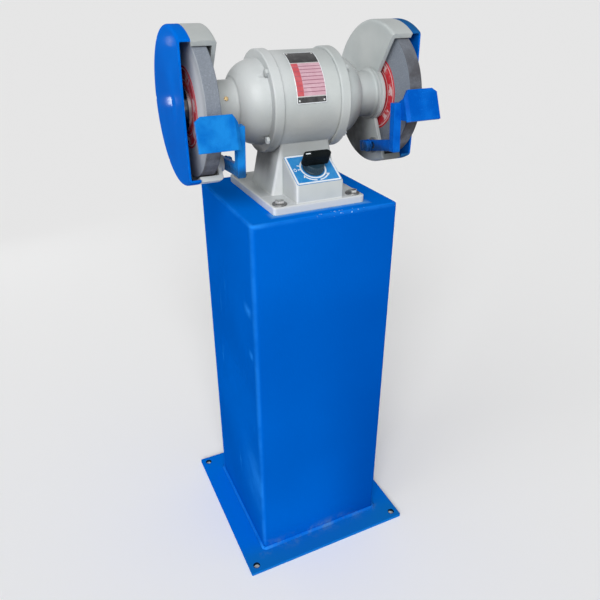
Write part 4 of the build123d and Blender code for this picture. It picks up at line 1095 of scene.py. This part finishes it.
# Name plate: blank printed fields wrapped round the barrel, and domed rivets
PLATE_RADIUS = 72.5
PLATE_LEFT = -26.5
PLATE_RIGHT = 21.5
PLATE_FROM = 4.0
PLATE_TO = 72.0
FIELD_INSET = 1.2
FIELD_LEFT = PLATE_LEFT + FIELD_INSET
FIELD_RIGHT = PLATE_RIGHT - FIELD_INSET
FIELD_GAP = 1.2
FIELDS_FROM = 12.4
FIELDS_TO = 51.4
FOOTER_FROM = PLATE_FROM + 1.0
HEADER_TO = PLATE_TO - 1.0
ROW_STEP = 2
RED_EDGE = -15.0
BORDER_LINE = 0.6
RIVET_INSET = 4.0
RIVET_LEAN = 3.16
RIVET_OUTLINE = ((0, 0), (1.6, 0), (1.5, 0.35), (1.0, 0.7), (0, 0.85))


def wrap(whole, shape, x, angle, lift=0.0):
    """Wraps a flat shape round the name plate, its centre at x and at an angle up from the front."""
    for vert in shape.verts:
        turn = radians(angle) + vert.co.y / PLATE_RADIUS
        reach = PLATE_RADIUS + lift + vert.co.z
        vert.co = (x + vert.co.x, -reach * cos(turn), SPINDLE.z * 1000 + reach * sin(turn))
    join(whole, shape)


def arc_length(degrees):
    return radians(degrees) * PLATE_RADIUS


def printed_field(name, made, left, right, low, high):
    field = bmesh.new()
    rows = max(2, int((high - low) / ROW_STEP))
    wrap(field, film(right - left, arc_length(high - low), rows), (left + right) / 2, (low + high) / 2)
    piece(name, field, made, "frame", "plate_print")


printed_field("plate_header", print_black, FIELD_LEFT, FIELD_RIGHT, FIELDS_TO + FIELD_GAP, HEADER_TO)
printed_field("plate_footer", print_black, FIELD_LEFT, FIELD_RIGHT, FOOTER_FROM, FIELDS_FROM - FIELD_GAP)
printed_field("plate_red", print_red, FIELD_LEFT, RED_EDGE, FIELDS_FROM, FIELDS_TO)
printed_field("plate_pink", print_pink, RED_EDGE, FIELD_RIGHT, FIELDS_FROM, FIELDS_TO)
rules = bmesh.new()
# Rules of the pink and the red field: their ends, the spare length, the line's width and the rows
FIELD_RULES = ((RED_EDGE, FIELD_RIGHT, 0.8, 0.9, 9), (FIELD_LEFT, RED_EDGE, 1.2, 0.6, 7))
for left, right, spare, line, rows in FIELD_RULES:
    for row in range(1, rows):
        level = FIELDS_FROM + row * (FIELDS_TO - FIELDS_FROM) / rows
        wrap(rules, film(right - left - spare, line), (left + right) / 2, level, INK_DEPTH)
piece("plate_rules", rules, print_mauve, "frame", "plate_print")
border = bmesh.new()
border_width = PLATE_RIGHT - PLATE_LEFT - BORDER_LINE
border_height = arc_length(PLATE_TO - PLATE_FROM) - BORDER_LINE
outline = film_frame(border_width, border_height, BORDER_LINE, corner=0.8, rows=30)
wrap(border, outline, (PLATE_LEFT + PLATE_RIGHT) / 2, (PLATE_FROM + PLATE_TO) / 2)
piece("plate_border", border, print_white, "frame", "plate_print")

rivets = bmesh.new()
for x in (PLATE_LEFT + RIVET_INSET, PLATE_RIGHT - RIVET_INSET):
    for angle in (PLATE_FROM + RIVET_LEAN, PLATE_TO - RIVET_LEAN):
        outward = Vector((0, -cos(radians(angle)), sin(radians(angle))))
        place = Vector((x / 1000, 0, SPINDLE.z)) + outward * PLATE_RADIUS / 1000
        join(rivets, spun(RIVET_OUTLINE, 20), standing(place, outward))
piece("plate_rivets", rivets, zinc, "frame", "zinc", "name_plate_rivets")

# Cable gland behind the foot: hexagon body and a fluted clamping cap, open for a lead
GLAND_REACH = 0.019
STEM_OUTLINE = ((4.5, -7), (8.0, -7), (8.0, 6))
CAP_OUTLINE = ((10.0, 6), (10.0, 15.5), (9.2, 17.6), (7.0, 19), (4.5, 19))
COLLAR_OUTLINE = ((4.8, 0.0), (13.2, 0.0), (13.86, 0.7), (13.86, 5.3), (13.2, 6.0), (4.8, 6.0))
gland_low, gland_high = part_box("cable_gland")
gland_place = standing((0, gland_high.y - GLAND_REACH, (gland_low.z + gland_high.z) / 2), (0, 1, 0))
gland = bmesh.new()
cap = spun(STEM_OUTLINE + CAP_OUTLINE, 56, True)
flute(cap, radius=10.0, width=0.2, depth=0.45)
join(gland, cap, gland_place)
join(gland, spun(COLLAR_OUTLINE, 6, True), gland_place)
piece("gland", gland, black_plastic, "frame", "black_plastic", "cable_gland")

# Small brass plug screwed into the left neck
NECK_RADIUS = 0.035
PLUG_X = -0.120
PLUG_TURN = radians(22.7)
PLUG_OUTLINE = ((0, -2.0), (3.2, -2.0), (3.2, 0.9), (2.6, 1.5), (0, 1.7))
plug = bmesh.new()
plug_out = Vector((0, -cos(PLUG_TURN), sin(PLUG_TURN)))
plug_seat = Vector((PLUG_X, 0, SPINDLE.z)) + plug_out * NECK_RADIUS
join(plug, spun(PLUG_OUTLINE, 28), standing(plug_seat, plug_out))
piece("neck_plug", plug, brass, "frame", "zinc")

# Floor, world and lamps
FLOOR_GREY = (0.928, 0.928, 0.928, 1)
SHOWN_GREY = (0.783, 0.783, 0.783, 1)
FLOOR_SIDE = 240
SKY_STRENGTH = 0.34
SUN_ANGLE = radians(42)
RIM_DISTANCE = 2.0
RIM_SIZE = 0.04


def hang(name, kind, strength, direction, place=(0, 0, 0)):
    """Lamp whose light comes from a direction."""
    data = bpy.data.lights.new(name, kind)
    data.energy = strength
    lamp = bpy.data.objects.new(name, data)
    lamp.location = place
    lamp.rotation_euler = Vector(direction).to_track_quat("Z", "Y").to_euler()
    scene.collection.objects.link(lamp)
    return lamp


def rim(name, strength, y, z):
    """Small lamp behind on the left, whose glint the left cover's face mirrors to the camera from y and z."""
    glint = Vector((cad_bounds[0].x, y, z))
    mirrored = (glint - CAMERA_PLACE).normalized()
    mirrored.x = -mirrored.x
    lamp = hang(name, "AREA", strength, mirrored, glint + mirrored * RIM_DISTANCE)
    lamp.data.shape = "DISK"
    lamp.data.size = RIM_SIZE
    lamp.visible_camera = False


world = bpy.data.worlds.new("studio")
world.use_nodes = True
tree = world.node_tree
sky_light = tree.nodes["Background"]
sky_light.inputs["Color"].default_value = WHITE
sky_light.inputs["Strength"].default_value = SKY_STRENGTH
shown = put("Background", {"Color": SHOWN_GREY, "Strength": 1.0})
path = put("LightPath").outputs
seen = highest(path["Is Camera Ray"], path["Is Glossy Ray"], path["Is Transmission Ray"])
choice = put("MixShader", {0: seen, 1: sky_light.outputs[0], 2: shown.outputs[0]})
tree.links.new(choice.outputs[0], tree.nodes["World Output"].inputs["Surface"])
scene.world = world
hang("key", "SUN", strength=2.65, direction=(-0.40, -0.75, 0.50)).data.angle = SUN_ANGLE
hang("side", "SUN", strength=0.52, direction=(-0.85, -0.15, 0.50)).data.angle = SUN_ANGLE
rim("rim", strength=0.5, y=0.014, z=SPINDLE.z + 0.009)
rim("upper_rim", strength=0.1, y=-0.039, z=SPINDLE.z + 0.096)

sheet = rectangle(FLOOR_SIDE, FLOOR_SIDE)
floor_mesh = bpy.data.meshes.new("floor")
sheet.to_mesh(floor_mesh)
sheet.free()
floor = bpy.data.objects.new("floor", floor_mesh)
scene.collection.objects.link(floor)
floor_paint = finish("floor_paint", roughness=0.95, specular=0.0)
tree.nodes[SHADER].inputs["Base Color"].default_value = FLOOR_GREY
floor_mesh.materials.append(floor_paint)
